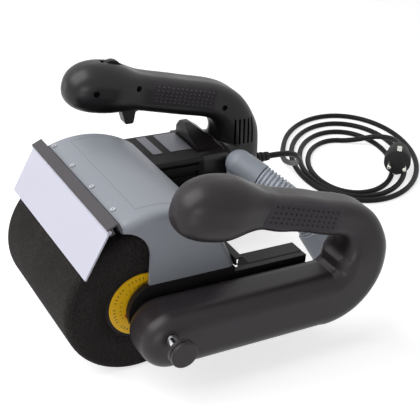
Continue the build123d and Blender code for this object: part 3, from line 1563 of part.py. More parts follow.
with BuildPart() as feet:
    with BuildSketch(Plane(origin=(bracket_x, leg_y, 0))):
        RectangleRounded(bracket_width + 2 * foot_margin, leg_length + 2 * foot_margin, leg_margin)
    extrude(amount=foot_height)
    with BuildSketch(Plane(origin=(motor_x, far_leg_y, 0))):
        RectangleRounded(far_leg_size + 2 * foot_margin, far_leg_size + 2 * foot_margin, leg_margin)
    extrude(amount=foot_height)
    fillet(feet.edges().group_by(Axis.Z)[0], foot_margin / 2)
keep(feet, "rubber_feet")

# Move everything so that the machine's base is centred on the origin
solid_boxes = [piece.bounding_box() for label, piece in pieces.items() if label not in cord_labels]
low = [min(box.min.X for box in solid_boxes), min(box.min.Y for box in solid_boxes),
       min(box.min.Z for box in solid_boxes)]
high = [max(box.max.X for box in solid_boxes), max(box.max.Y for box in solid_boxes)]
shift = Vector(-(low[0] + high[0]) / 2, -(low[1] + high[1]) / 2, -low[2])
print("shift", shift)
for label, piece in pieces.items():
    moved = piece.moved(Location(shift))
    moved.label = label
    export_step(moved, f"parts/{label}.step")
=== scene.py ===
import math

import bmesh
import bpy
from mathutils import Matrix, Vector
from mathutils.bvhtree import BVHTree


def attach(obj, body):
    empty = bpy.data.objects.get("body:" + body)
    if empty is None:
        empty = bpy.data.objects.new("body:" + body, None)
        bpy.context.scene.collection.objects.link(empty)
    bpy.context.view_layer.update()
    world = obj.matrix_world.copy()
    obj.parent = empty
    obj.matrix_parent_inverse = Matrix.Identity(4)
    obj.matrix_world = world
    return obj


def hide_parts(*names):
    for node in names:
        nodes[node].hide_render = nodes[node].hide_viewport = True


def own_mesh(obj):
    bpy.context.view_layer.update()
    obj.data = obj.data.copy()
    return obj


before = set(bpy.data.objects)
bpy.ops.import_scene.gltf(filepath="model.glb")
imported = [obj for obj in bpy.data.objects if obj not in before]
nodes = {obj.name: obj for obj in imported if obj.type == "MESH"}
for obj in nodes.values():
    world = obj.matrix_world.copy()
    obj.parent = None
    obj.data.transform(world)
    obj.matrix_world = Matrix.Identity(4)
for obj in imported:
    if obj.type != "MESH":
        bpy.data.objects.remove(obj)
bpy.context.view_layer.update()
world = bpy.context.scene
print("frame loaded with", len(nodes), "nodes")


# layout in mm from the drum's middle, the frame in metres from the base's middle
milli = 1000
shift = (5.5, -94.2627)


def at(x, y, z):
    return Vector((x + shift[0], y + shift[1], z)) / milli


# camera at the photo's viewing angle
shot = {"place": (0.71535, -0.42370, 0.55561), "lens": 84.35, "sensor": 36, "nearest": 0.01,
        "yaw": 31.672, "pitch": 28.533, "roll": -5.080}
yaw, pitch, roll = (math.radians(shot[key]) for key in ("yaw", "pitch", "roll"))
ahead = Vector((-math.cos(yaw) * math.cos(pitch), math.sin(yaw) * math.cos(pitch), -math.sin(pitch)))
level = Vector((math.sin(yaw), math.cos(yaw), 0))
below = ahead.cross(level)
right = level * math.cos(roll) + below * math.sin(roll)
below = below * math.cos(roll) - level * math.sin(roll)
lensData = bpy.data.cameras.new("photoCamera")
lensData.lens = shot["lens"]
lensData.sensor_width = shot["sensor"]
lensData.clip_start = shot["nearest"]
camera = bpy.data.objects.new("photoCamera", lensData)
facing = Matrix((right, -below, -ahead)).transposed().to_4x4()
camera.matrix_world = Matrix.Translation(shot["place"]) @ facing
world.collection.objects.link(camera)
world.camera = camera
print("camera set")

lines = {"order": 3, "smooth": 6}


def lineOf(name, points, radius):
    curve = bpy.data.curves.new(name, "CURVE")
    curve.dimensions = "3D"
    spline = curve.splines.new("NURBS")
    spline.points.add(len(points) - 1)
    for knot, point in zip(spline.points, points):
        knot.co = (*point, 1)
        knot.radius = radius  # real radius, with a bevel of 1, keeps the curve's box true
    spline.order_u = lines["order"]
    spline.use_endpoint_u = True
    spline.resolution_u = lines["smooth"]
    piece = bpy.data.objects.new(name, curve)
    world.collection.objects.link(piece)
    return piece


def pointsOf(line):
    bpy.context.view_layer.update()
    mesh = bpy.data.meshes.new_from_object(line.evaluated_get(bpy.context.evaluated_depsgraph_get()))
    points = [v.co.copy() for v in mesh.vertices]
    bpy.data.meshes.remove(mesh)
    return points


# mains cord: down from the handle, three and a quarter loose turns, then up onto them to the plug
cord = {"thick": 0.007, "length": 2.192, "turns": 3.25, "perTurn": 24, "floor": 3.7, "bevel": 3,
        "lead": [(-128, 258.52, 77), (-128, 286, 77), (-142, 312, 62), (-168, 334, 38), (-204, 350, 16),
                 (-240, 361, 3.7)],
        "coilStart": (-271.66, 382.02), "along": (-0.833, 0.553), "long": 140, "short": 94,
        "longStep": 19.7, "shortStep": 14, "drift": (6.7, -8),
        "tail": [(-250, 493, 8), (-239.2, 509.4, 15), (-217.6, 518.9, 21), (-194.2, 515.3, 24.5),
                 (-185, 508, 25)]}
coilAlong = Vector(cord["along"]).normalized()
coilAcross = Vector((coilAlong.y, -coilAlong.x))
coilMiddle = Vector(cord["coilStart"]) + coilAcross * cord["short"]
cordPoints = [at(*p) for p in cord["lead"]]
for step in range(int(cord["turns"] * cord["perTurn"]) + 1):
    turn = step / cord["perTurn"]
    angle = 2 * math.pi * turn - math.pi / 2
    flat = coilMiddle + Vector(cord["drift"]) * turn
    flat += coilAlong * (cord["long"] - cord["longStep"] * turn) * math.cos(angle)
    flat += coilAcross * (cord["short"] - cord["shortStep"] * turn) * math.sin(angle)
    cordPoints.append(at(flat.x, flat.y, cord["floor"]))
cordPoints += [at(*p) for p in cord["tail"]]
mainsCord = lineOf("mainsCord", cordPoints, cord["thick"] / 2)
mainsCord.data.bevel_depth = 1
mainsCord.data.bevel_resolution = cord["bevel"]
mainsCord.data.use_fill_caps = True
print("cord laid through", len(cordPoints), "points")

weld = 0.000001


def finishPiece(bm, name, body, smooth=True):
    bmesh.ops.remove_doubles(bm, verts=bm.verts, dist=weld)
    bmesh.ops.recalc_face_normals(bm, faces=bm.faces)
    mesh = bpy.data.meshes.new(name)
    for face in bm.faces:
        face.smooth = smooth
    bm.to_mesh(mesh)
    bm.free()
    piece = bpy.data.objects.new(name, mesh)
    world.collection.objects.link(piece)
    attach(piece, body)
    return piece


def sharpen(piece, degrees=35):
    bm = bmesh.new()
    bm.from_mesh(piece.data)
    for edge in bm.edges:
        edge.smooth = len(edge.link_faces) == 2 and edge.calc_face_angle(0) < math.radians(degrees)
    bm.to_mesh(piece.data)
    bm.free()


def roundOff(bm, geom, affect, offset, segments):
    bmesh.ops.bevel(bm, geom=geom, affect=affect, offset=offset, segments=segments, profile=0.5,
                    material=-1)


# round piece from (distance along its axis, radius) steps
def turned(profile, place, axis, steps):
    bm = bmesh.new()
    rim = [bm.verts.new((radius, 0, along)) for along, radius in profile]
    for pair in zip(rim, rim[1:]):
        bm.edges.new(pair)
    bmesh.ops.spin(bm, geom=bm.verts[:] + bm.edges[:], cent=(0, 0, 0), axis=(0, 0, 1), angle=2 * math.pi,
                   steps=steps, use_merge=True)
    turn = Vector((0, 0, 1)).rotation_difference(Vector(axis)).to_matrix().to_4x4()
    bmesh.ops.transform(bm, matrix=Matrix.Translation(place) @ turn, verts=bm.verts)
    return bm


# dust hose: rings along its line, low and high by turns
hose = {"line": [(-50.39, 197.91, 96.69), (-30.4, 210.4, 88.4), (-21.3, 233.2, 66.8), (-10.5, 244, 47)],
        "ribs": 20, "crest": 0.0145, "valley": 0.0129, "sides": 40, "smooth": 24,
        "wave": ((0, "valley"), (0.28, "valley"), (0.42, "crest"), (0.85, "crest"))}
hoseLine = lineOf("hoseLine", [at(*p) for p in hose["line"]], 0)
hoseLine.data.splines[0].resolution_u = hose["smooth"]
hosePoints = pointsOf(hoseLine)
bpy.data.objects.remove(hoseLine)


def alongLine(points, share):
    runs = [(b - a).length for a, b in zip(points, points[1:])]
    left = sum(runs) * share
    for (a, b), run in zip(zip(points, points[1:]), runs):
        if left <= run:
            return a.lerp(b, left / run), (b - a).normalized()
        left -= run
    return points[-1].copy(), (points[-1] - points[-2]).normalized()


def makeHose():
    bm = bmesh.new()
    rings = []
    stops = [((rib + part) / hose["ribs"], kind) for rib in range(hose["ribs"])
             for part, kind in hose["wave"]]
    stops.append((1, "valley"))
    upright = Vector((0, 0, 1))
    for share, kind in stops:
        place, heading = alongLine(hosePoints, share)
        side = heading.cross(upright).normalized()
        basis = Matrix((side, heading.cross(side), heading)).transposed().to_4x4()
        made = bmesh.ops.create_circle(bm, segments=hose["sides"], radius=hose[kind],
                                       matrix=Matrix.Translation(place) @ basis)
        ring = set(made["verts"])
        rings.append([e for e in bm.edges if e.verts[0] in ring and e.verts[1] in ring])
    for one, two in zip(rings, rings[1:]):
        bmesh.ops.bridge_loops(bm, edges=one + two)
    return finishPiece(bm, "hoseTube", "machine")


hoseTube = makeHose()
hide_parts("dust_hose")
print("hose ribbed")

# strain relief: tapered rubber boot with grooves
boot = {"root": (-128, 226.53, 77), "axis": (0, 1, 0), "length": 0.032, "base": 0.0080, "tip": 0.0050,
        "grooves": 5, "deep": 0.0011, "grooved": 0.92, "sunk": 0.006, "steps": 40,
        "wave": ((0.15, 0), (0.3, 1), (0.55, 1), (0.7, 0))}
bootProfile = [(-boot["sunk"], 0), (-boot["sunk"], boot["base"]), (0, boot["base"])]
for groove in range(boot["grooves"]):
    for part, cut in boot["wave"]:
        share = (groove + part) / boot["grooves"] * boot["grooved"]
        radius = boot["base"] + (boot["tip"] - boot["base"]) * share - cut * boot["deep"]
        bootProfile.append((boot["length"] * share, radius))
bootProfile += [(boot["length"], boot["tip"]), (boot["length"], 0)]
bootBm = turned(bootProfile, at(*boot["root"]), boot["axis"], boot["steps"])
cordBoot = finishPiece(bootBm, "cordBoot", "machine")
sharpen(cordBoot)
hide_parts("strain_relief")

# plug: ribbed boot, waisted body with a collar and a flat face
plug = {"start": cord["tail"][-1], "heading": (0.75, -0.66, 0), "steps": 56, "crease": 50,
        "profile": [(0, 0), (0, 0.0048), (0.003, 0.0054), (0.0032, 0.0048), (0.0055, 0.0051),
                    (0.0057, 0.0062), (0.0085, 0.0069), (0.0087, 0.0062), (0.011, 0.0066),
                    (0.0112, 0.0078), (0.0145, 0.0090), (0.016, 0.0102), (0.0185, 0.0128),
                    (0.023, 0.0139), (0.033, 0.0142), (0.0375, 0.0150), (0.0395, 0.0168),
                    (0.041, 0.0170), (0.054, 0.0170), (0.0555, 0.0164), (0.056, 0.0155), (0.056, 0)],
        "strip": {"along": 0.0485, "out": 0.0169, "size": (0.0150, 0.0060, 0.0009), "edge": 0.0003,
                  "rounds": 2}}
plugBm = turned(plug["profile"], at(*plug["start"]), plug["heading"], plug["steps"])
plugShell = finishPiece(plugBm, "plugShell", "machine")
sharpen(plugShell, plug["crease"])
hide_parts("plug_body")


def earthStrips():
    bm = bmesh.new()
    strip = plug["strip"]
    heading = Vector(plug["heading"]).normalized()
    for flip in (1, -1):
        made = bmesh.ops.create_cube(bm, size=1)
        out = Vector((0, 0, flip))
        sides = (heading, heading.cross(out), out)
        place = at(*plug["start"]) + heading * strip["along"] + out * strip["out"]
        basis = Matrix([side * size for side, size in zip(sides, strip["size"])]).transposed().to_4x4()
        bmesh.ops.transform(bm, matrix=Matrix.Translation(place) @ basis, verts=made["verts"])
    roundOff(bm, bm.edges[:], "EDGES", strip["edge"], strip["rounds"])
    return finishPiece(bm, "plugEarthStrips", "machine")


plugStrips = earthStrips()
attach(mainsCord, "machine")
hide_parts("cord_lead", "cord_coil")
print("plug and boot made")

# the return springs of the release pin and the trigger, as their own pieces copied from the CAD springs
springs = {
    "release_spring": {"name": "pinSpring", "joint": "release_pull", "axis": 0, "fixed": 0.135,
                       "travel": 0.012},
    "trigger_spring": {"name": "triggerSpring", "joint": "trigger_squeeze", "axis": 2, "fixed": 0.1785,
                       "travel": 0.0017},
}


def closingSpring(node, spring):
    bm = bmesh.new()
    bm.from_mesh(nodes[node].data)
    piece = finishPiece(bm, spring["name"], "machine")
    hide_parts(node)
    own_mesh(piece)
    return piece


returnSprings = [closingSpring(node, spring) for node, spring in springs.items()]
print("springs made")

# foam sleeve: soft roll with well rounded ends
foam = {"radius": 0.0700, "bore": 0.0341, "half": 0.0760, "edge": 0.0070, "dish": 0.0012, "dishFrom": 0.012,
        "rounds": 7, "cuts": 24, "steps": 144}
drumHigh = 70
drumMiddle = at(0, 0, drumHigh)


def makeFoam():
    bm = bmesh.new()
    dished = foam["bore"] + foam["dishFrom"]
    outline = [(-foam["half"], foam["bore"]), (-foam["half"] + foam["dish"], dished),
               (-foam["half"], foam["radius"]), (foam["half"], foam["radius"]),
               (foam["half"] - foam["dish"], dished), (foam["half"], foam["bore"])]
    rim = [bm.verts.new(drumMiddle + Vector((x, 0, r))) for x, r in outline]
    for pair in zip(rim, rim[1:] + rim[:1]):
        bm.edges.new(pair)
    roundOff(bm, rim[2:4], "VERTICES", foam["edge"], foam["rounds"])  # the two outer corners
    longest = sorted(bm.edges, key=lambda e: e.calc_length())[-2:]  # skin and bore
    bmesh.ops.subdivide_edges(bm, edges=longest, cuts=foam["cuts"])
    bmesh.ops.spin(bm, geom=bm.verts[:] + bm.edges[:], cent=drumMiddle, axis=(1, 0, 0), angle=2 * math.pi,
                   steps=foam["steps"], use_merge=True)
    return finishPiece(bm, "foamRoll", "drum")


foamRoll = makeFoam()
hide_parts("drum_sleeve")
print("foam roll made")

# plain scale marks on the yellow disc
marks = {"face": 0.0772, "rings": ((0.0265, 48, 0.0022, 0.0006), (0.0205, 30, 0.0016, 0.0005)),
         "group": 6, "band": (0.0160, 0.0182, 2.0, 3.9), "bandSteps": 32, "thick": 0.00012}


def discTicks():
    bm = bmesh.new()
    for radius, count, tall, wide in marks["rings"]:
        for step in range(count):
            if (step + 1) % marks["group"] == 0:  # a gap after each few ticks
                continue
            turn = Matrix.Rotation(2 * math.pi * step / count, 4, "X")
            place = Matrix.Translation(drumMiddle + Vector((marks["face"], 0, 0))) @ turn
            size = Matrix.Diagonal((marks["thick"], wide, tall, 1))
            bmesh.ops.create_cube(bm, size=1, matrix=place @ Matrix.Translation((0, 0, radius)) @ size)
    return finishPiece(bm, "discTicks", "drum", smooth=False)


def discBand():
    bm = bmesh.new()
    low, high, start, end = marks["band"]
    middle = drumMiddle + Vector((marks["face"], 0, 0))
    rim = [bm.verts.new(middle + Vector((0, 0, r))) for r in (low, high)]
    bm.edges.new(rim)
    bmesh.ops.rotate(bm, cent=middle, matrix=Matrix.Rotation(start, 3, "X"), verts=bm.verts)
    bmesh.ops.spin(bm, geom=bm.verts[:] + bm.edges[:], cent=middle, axis=(1, 0, 0), angle=end - start,
                   steps=marks["bandSteps"])
    bmesh.ops.solidify(bm, geom=bm.faces[:], thickness=marks["thick"])
    return finishPiece(bm, "discBand", "drum", smooth=False)


tickPrint = discTicks()
bandPrint = discBand()
print("disc printed with plain marks")

# grip pads: thin rubber laid on a shell by rays from its side, with rows of hollows or raised dots
pads = {"clear": 60, "near": 0.001, "sink": 0.0002}


def gripPanel(name, shell, side, panel):
    bm = bmesh.new()
    bm.from_mesh(nodes[shell].data)
    skin = BVHTree.FromBMesh(bm)
    bm.free()
    bm = bmesh.new()
    across = 2 * panel["rows"] + 3  # a dot in every second cell, inside a plain rim
    around = 2 * panel["columns"] + 3
    bmesh.ops.create_grid(bm, x_segments=around, y_segments=across, size=0.5)
    bm.faces.ensure_lookup_table()
    heading = Vector((0, *panel["heading"]))
    down = Vector((0, -panel["heading"][1], panel["heading"][0]))
    cells = {}
    for face in bm.faces:
        spot = face.calc_center_median()
        cells[face] = (round((spot.x + 0.5) * around - 0.5), round((spot.y + 0.5) * across - 0.5))
    for vert in bm.verts:
        u, v = vert.co.x + 0.5, vert.co.y + 0.5
        rim = min(u, v, 1 - u, 1 - v) < pads["near"]
        front = panel["front"][0] + (panel["front"][1] - panel["front"][0]) * v
        rear = panel["rear"] - panel["round"] * (1 - math.sqrt(max(0, 1 - (2 * v - 1) ** 2)))
        run = front + (rear - front) * u
        drop = panel["top"] + (panel["low"] - panel["top"]) * v
        start = at(panel["middle"] + side * pads["clear"], *panel["start"])
        start += (heading * run + down * drop) / milli
        place, normal = skin.ray_cast(start, Vector((-side, 0, 0)))[:2]
        vert.co = place + normal * (-pads["sink"] if rim else panel["proud"])
    bm.normal_update()
    if bm.faces[0].normal.x * side < 0:
        bmesh.ops.reverse_faces(bm, faces=bm.faces)
    dots = [face for face, (i, j) in cells.items()
            if i % 2 == 0 and j % 2 == 0 and 0 < i < around - 1 and 0 < j < across - 1]
    bmesh.ops.inset_individual(bm, faces=dots, thickness=panel["inset"])
    bmesh.ops.inset_individual(bm, faces=dots, thickness=panel["inset"] / 2, depth=-panel["deep"])
    # the dots take each pad's second material: painted shade in the near pad's hollows, painted highlight
    # on the motor pads' raised dots
    for face in dots:
        face.material_index = 1
    piece = finishPiece(bm, name, "machine")
    if piece.data.polygons[0].normal.x * side < 0:
        piece.data.flip_normals()
    soft = piece.modifiers.new("soften", "SUBSURF")
    soft.levels = 1
    soft.render_levels = 1
    return piece


nearPanel = {"middle": 111, "start": (175.817, 141.399), "heading": (-0.961262, 0.275637), "rows": 4,
             "columns": 13, "front": (93, 98), "rear": 14.5, "round": 6, "top": -14.5, "low": 10.5,
             "proud": 0.0008, "inset": 0.0001, "deep": 0.0006}
motorPanel = {"middle": -128, "start": (168.512, 161.329), "heading": (-0.974370, 0.224951), "rows": 5,
              "columns": 13, "front": (76, 77), "rear": -1.5, "round": 7, "top": -16, "low": 8,
              "proud": 0.0004, "inset": 0.0002, "deep": -0.0006}
gripPads = [gripPanel("nearPadOuter", "near_handle_outer_shell", 1, nearPanel),
            gripPanel("motorPadInner", "motor_handle_inner_shell", 1, motorPanel),
            gripPanel("motorPadOuter", "motor_handle_outer_shell", -1, motorPanel)]
print("grip pads laid")

# bare rating plates on the motor's top
plates = {"top": 111.0, "thick": 0.5, "middle": -133.5, "wide": 43, "runs": ((102.5, 113.5), (123, 148.5)),
          "round": 0.0012, "rounds": 4}


def motorPlates():
    bm = bmesh.new()
    for start, end in plates["runs"]:
        place = at(plates["middle"], (start + end) / 2, plates["top"] + plates["thick"] / 2)
        size = Matrix.Diagonal((*(Vector((plates["wide"], end - start, plates["thick"])) / milli), 1))
        made = bmesh.ops.create_cube(bm, size=1, matrix=Matrix.Translation(place) @ size)
        edges = {e for v in made["verts"] for e in v.link_edges}
        upright = sorted(edges, key=lambda e: e.calc_length())[:4]  # a thin plate's shortest edges
        roundOff(bm, upright, "EDGES", plates["round"], plates["rounds"])
    return finishPiece(bm, "ratingPlates", "machine", smooth=False)


ratingPlates = motorPlates()

# bare film on the hood's crown, seen by its thin rim
crown = {"axis": (8, 74), "radius": 89}
film = {"proud": 0.05, "start": -9.7, "end": 30, "across": (-72, 70), "rim": 0.0006, "thick": 0.00012,
        "steps": 20}


def hoodFilm():
    bm = bmesh.new()
    middle = at(0, *crown["axis"])
    top = crown["axis"][1] + crown["radius"] + film["proud"]
    ends = [bm.verts.new(at(x, crown["axis"][0], top)) for x in film["across"]]
    bm.edges.new(ends)
    lean = Matrix.Rotation(math.radians(-film["start"]), 3, "X")
    bmesh.ops.rotate(bm, cent=middle, matrix=lean, verts=bm.verts)
    bmesh.ops.spin(bm, geom=bm.verts[:] + bm.edges[:], cent=middle, axis=(-1, 0, 0),
                   angle=math.radians(film["end"] - film["start"]), steps=film["steps"])
    rim = bmesh.ops.inset_region(bm, faces=bm.faces[:], thickness=film["rim"], use_boundary=True)["faces"]
    for face in rim:
        face.material_index = 1
    bmesh.ops.solidify(bm, geom=bm.faces[:], thickness=film["thick"])
    return finishPiece(bm, "hoodFilm", "machine")


crownFilm = hoodFilm()
sharpen(crownFilm)

# cross recesses in the channel's and the gear cover's screws, drawn as thin dark zinc crosses: painted
# shade in the recesses
crosses = {"size": (0.0022, 0.0005, 0.00025), "lip": (-74, -30, 14, 58), "ahead": 29.8, "head": 1.2,
           "lipTurn": 0.4, "ring": 24.25, "ringCount": 6, "ringStart": 30, "cover": -151.2,
           "coverTurn": 0.7}


def screwCrosses():
    bm = bmesh.new()
    seats = []
    reach = crown["radius"]
    lean = Vector((0, -crosses["ahead"], math.sqrt(reach ** 2 - crosses["ahead"] ** 2))).normalized()
    for step, x in enumerate(crosses["lip"]):
        place = at(x, *crown["axis"]) + lean * (reach + crosses["head"]) / milli
        seats.append((place, lean, crosses["lipTurn"] * step))
    for step in range(crosses["ringCount"]):
        angle = math.radians(crosses["ringStart"] + 360 * step / crosses["ringCount"])
        y, z = crosses["ring"] * math.cos(angle), drumHigh + crosses["ring"] * math.sin(angle)
        seats.append((at(crosses["cover"], y, z), Vector((-1, 0, 0)), crosses["coverTurn"] * step))
    for place, out, spin in seats:
        stand = Vector((0, 0, 1)).rotation_difference(out).to_matrix().to_4x4()
        turn = stand @ Matrix.Rotation(spin, 4, "Z")
        for quarter in (0, math.pi / 2):
            size = Matrix.Rotation(quarter, 4, "Z") @ Matrix.Diagonal((*crosses["size"], 1))
            bmesh.ops.create_cube(bm, size=1, matrix=Matrix.Translation(place) @ turn @ size)
    return finishPiece(bm, "screwCrosses", "machine", smooth=False)


crossMarks = screwCrosses()
print("plates and screw recesses made")


# colours are sRGB hex, shaders want linear
def linear(code):
    parts = [int(code[i:i + 2], 16) / 255 for i in (1, 3, 5)]
    return (*[p / 12.92 if p <= 0.04045 else ((p + 0.055) / 1.055) ** 2.4 for p in parts], 1)


def addNode(tree, kind, values=None, links=None, **settings):
    node = tree.nodes.new(kind)
    for key, value in settings.items():
        setattr(node, key, value)
    for key, value in (values or {}).items():
        node.inputs[key].default_value = value
    for key, source in (links or {}).items():
        tree.links.new(source, node.inputs[key])
    return node


def newMaterial(name, values):
    material = bpy.data.materials.new(name)
    material.use_nodes = True
    tree = material.node_tree
    shader = tree.nodes["Principled BSDF"]
    for key, value in values.items():
        shader.inputs[key].default_value = value
    return material, tree, shader


grainLook = {"fine": 0.35, "clouds": 0.65, "low": 0.3, "high": 0.7, "bump": 0.6, "ior": 1.5,
             "cloudDetail": 4.0, "grainDetail": 2.0}


# two close tones in soft clouds, a fine grain in the bump, roughness that drifts with the clouds;
# clouds and grain in mm, the grain coarser than the real one so that it shows
def grained(name, tones, rough, grain, deep, cloud=25, metallic=0.0, stretch=(1, 1, 1), shine=0.5):
    values = {"Metallic": metallic, "Specular IOR Level": shine}
    if not metallic:
        values["IOR"] = grainLook["ior"]
    material, tree, shader = newMaterial(name, values)
    spot = addNode(tree, "ShaderNodeTexCoord").outputs["Object"]
    run = addNode(tree, "ShaderNodeMapping", {"Scale": stretch}, {"Vector": spot}).outputs["Vector"]
    fields = ((cloud, grainLook["cloudDetail"]), (grain, grainLook["grainDetail"]))
    clouds, grains = (addNode(tree, "ShaderNodeTexNoise", {"Scale": milli / size, "Detail": detail},
                              {"Vector": run}) for size, detail in fields)
    blend = addNode(tree, "ShaderNodeMath", {1: grainLook["fine"]}, {0: grains.outputs["Fac"]},
                    operation="MULTIPLY")
    share = addNode(tree, "ShaderNodeMath", {1: grainLook["clouds"]},
                    {0: clouds.outputs["Fac"], 2: blend.outputs[0]}, operation="MULTIPLY_ADD")
    tone = addNode(tree, "ShaderNodeMixRGB", {"Color1": linear(tones[0]), "Color2": linear(tones[1])},
                   {"Fac": share.outputs[0]})
    span = {"From Min": grainLook["low"], "From Max": grainLook["high"],
            "To Min": rough[0], "To Max": rough[1]}
    gloss = addNode(tree, "ShaderNodeMapRange", span, {"Value": clouds.outputs["Fac"]})
    bump = addNode(tree, "ShaderNodeBump", {"Strength": grainLook["bump"], "Distance": deep / milli},
                   {"Height": grains.outputs["Fac"]})
    tree.links.new(tone.outputs["Color"], shader.inputs["Base Color"])
    tree.links.new(gloss.outputs["Result"], shader.inputs["Roughness"])
    tree.links.new(bump.outputs["Normal"], shader.inputs["Normal"])
    return material


foamLook = {"rough": 0.95, "shine": 0.2, "fuzz": 1.7, "fuzzDetail": 3.0, "drift": 40, "driftDetail": 2.0,
            "low": 0.1, "high": 0.38, "bump": 0.9, "deep": 0.6}


# open-cell foam: pores of about a millimetre between greyer struts, the pores darkened by their depth as
# painted shade in the holes
def openFoam(name, pore, tones):
    material, tree, shader = newMaterial(name, {"Roughness": foamLook["rough"],
                                                "Specular IOR Level": foamLook["shine"]})
    spot = addNode(tree, "ShaderNodeTexCoord").outputs["Object"]
    pores = addNode(tree, "ShaderNodeTexVoronoi", {"Scale": milli / pore}, {"Vector": spot})
    fuzzScale = milli / (pore * foamLook["fuzz"])
    fuzz = addNode(tree, "ShaderNodeTexNoise", {"Scale": fuzzScale, "Detail": foamLook["fuzzDetail"]},
                   {"Vector": spot})
    driftScale = milli / foamLook["drift"]
    drift = addNode(tree, "ShaderNodeTexNoise", {"Scale": driftScale, "Detail": foamLook["driftDetail"]},
                    {"Vector": spot})
    depth = addNode(tree, "ShaderNodeMath", {}, {0: pores.outputs["Distance"], 1: fuzz.outputs["Fac"]},
                    operation="MULTIPLY")
    reach = addNode(tree, "ShaderNodeMapRange", {"From Min": foamLook["low"], "From Max": foamLook["high"]},
                    {"Value": depth.outputs[0]})
    # tone follows the pores' depth (painted shade in the holes) times a slow random drift
    shade = addNode(tree, "ShaderNodeMath", {}, {0: reach.outputs["Result"], 1: drift.outputs["Fac"]},
                    operation="MULTIPLY")
    tone = addNode(tree, "ShaderNodeMixRGB", {"Color1": linear(tones[0]), "Color2": linear(tones[1])},
                   {"Fac": shade.outputs[0]})
    deep = foamLook["deep"] * pore / milli
    bump = addNode(tree, "ShaderNodeBump", {"Strength": foamLook["bump"], "Distance": deep},
                   {"Height": depth.outputs[0]})
    tree.links.new(tone.outputs["Color"], shader.inputs["Base Color"])
    tree.links.new(bump.outputs["Normal"], shader.inputs["Normal"])
    return material


bandLook = {"wobble": 0.4, "bump": 0.5, "deep": 0.0002, "unit": 20}  # a wave turns 20 radians to its unit


# fine bands along one axis: stacked sheets or wound wire
def banded(name, tones, band, turn, rough, metallic):
    material, tree, shader = newMaterial(name, {"Metallic": metallic, "Roughness": rough})
    spot = addNode(tree, "ShaderNodeTexCoord").outputs["Object"]
    scale = 2 * math.pi * milli / (band * bandLook["unit"])
    bands = addNode(tree, "ShaderNodeTexWave", {"Scale": scale, "Distortion": bandLook["wobble"]},
                    {"Vector": spot}, bands_direction=turn)
    tone = addNode(tree, "ShaderNodeMixRGB", {"Color1": linear(tones[0]), "Color2": linear(tones[1])},
                   {"Fac": bands.outputs["Fac"]})
    bump = addNode(tree, "ShaderNodeBump", {"Strength": bandLook["bump"], "Distance": bandLook["deep"]},
                   {"Height": bands.outputs["Fac"]})
    tree.links.new(tone.outputs["Color"], shader.inputs["Base Color"])
    tree.links.new(bump.outputs["Normal"], shader.inputs["Normal"])
    return material


# moulded ABS from a spark-eroded mould: satin skin with a fine even grain; one black ABS in three copies,
# the near handle's lighter for painted light, the motor handle's and the motor's darker for painted shade
litBlackAbs = grained("mouldedBlackAbsPaintedLight", ("#221d20", "#2a2528"), (0.34, 0.44), 0.9, 0.05, shine=0.32)
shadedHandleAbs = grained("mouldedHandleAbsPaintedShade", ("#120f11", "#191517"), (0.3, 0.4), 0.9, 0.05, shine=0.36)
shadedMotorAbs = grained("mouldedMotorAbsPaintedShade", ("#131011", "#191617"), (0.5, 0.62), 1.1, 0.06, shine=0.18)
# soft overmoulded rubber: duller than the ABS; the near pad's hollows darker for painted shade in them, the
# motor pads a darker copy for painted shade, their raised dots paler for painted highlight
padRubber = grained("softGripRubber", ("#373338", "#3f3b41"), (0.6, 0.7), 0.7, 0.05, shine=0.25)
padHollowShade = grained("gripRubberHollowPaintedShade", ("#141213", "#1b1819"), (0.7, 0.8), 0.7, 0.05, shine=0.1)
shadedGripRubber = grained("gripRubberPaintedShade", ("#2b272b", "#332f33"), (0.6, 0.7), 0.7, 0.05, shine=0.25)
padNubHighlight = grained("gripRubberNubPaintedHighlight", ("#68646b", "#747077"), (0.45, 0.55), 0.7, 0.05, shine=0.3)
# sprayed paint: satin with a wide orange peel
hoodPaint = grained("satinGreyPaint", ("#8b8f97", "#959aa2"), (0.36, 0.46), 3.0, 0.03, cloud=60)
filmFace = grained("clearFilmOnPaint", ("#8c9098", "#969ba3"), (0.32, 0.42), 4.0, 0.01, cloud=60)
filmRim = grained("cutFilmRim", ("#70747b", "#7a7e85"), (0.4, 0.5), 1.0, 0.01, cloud=20)
barPaint = grained("satinBarPaint", ("#353136", "#3e3a3f"), (0.36, 0.46), 2.0, 0.03, cloud=30)
darkPaint = grained("darkGreyPaint", ("#171515", "#1e1c1c"), (0.38, 0.5), 2.0, 0.03, cloud=30, shine=0.2)
# calendered sheet: even, slightly dull
whitePlate = grained("whiteSheetPlastic", ("#c4c4d2", "#cacad8"), (0.45, 0.55), 5.0, 0.01, cloud=70)
foamBlack = openFoam("blackOpenFoam", 1.1, ("#151312", "#403c3b"))  # pores drawn coarse enough to show
# printed film: even yellow, thin matt inks
yellowSheet = grained("yellowPrintedSheet", ("#ffc30a", "#ffcc20"), (0.35, 0.45), 1.5, 0.01, cloud=12)
inkBlack = grained("blackPrintInk", ("#1d1b18", "#2b2823"), (0.4, 0.5), 0.5, 0.005, cloud=3)
inkRed = grained("redPrintInk", ("#c8351c", "#d4452a"), (0.4, 0.5), 0.5, 0.005, cloud=3)
# turned, zinc-plated and chromed metal: bright, the chrome almost a mirror
turnedSteel = grained("turnedSteel", ("#a3a4a7", "#b9babd"), (0.24, 0.36), 0.4, 0.01, metallic=1.0, cloud=8)
zincBright = grained("brightZinc", ("#c0c1c4", "#d2d3d6"), (0.26, 0.38), 0.6, 0.01, metallic=1.0, cloud=5)
platedChrome = grained("platedChrome", ("#d7d8da", "#e6e7e9"), (0.06, 0.13), 1.0, 0.003, metallic=1.0,
                       cloud=10)
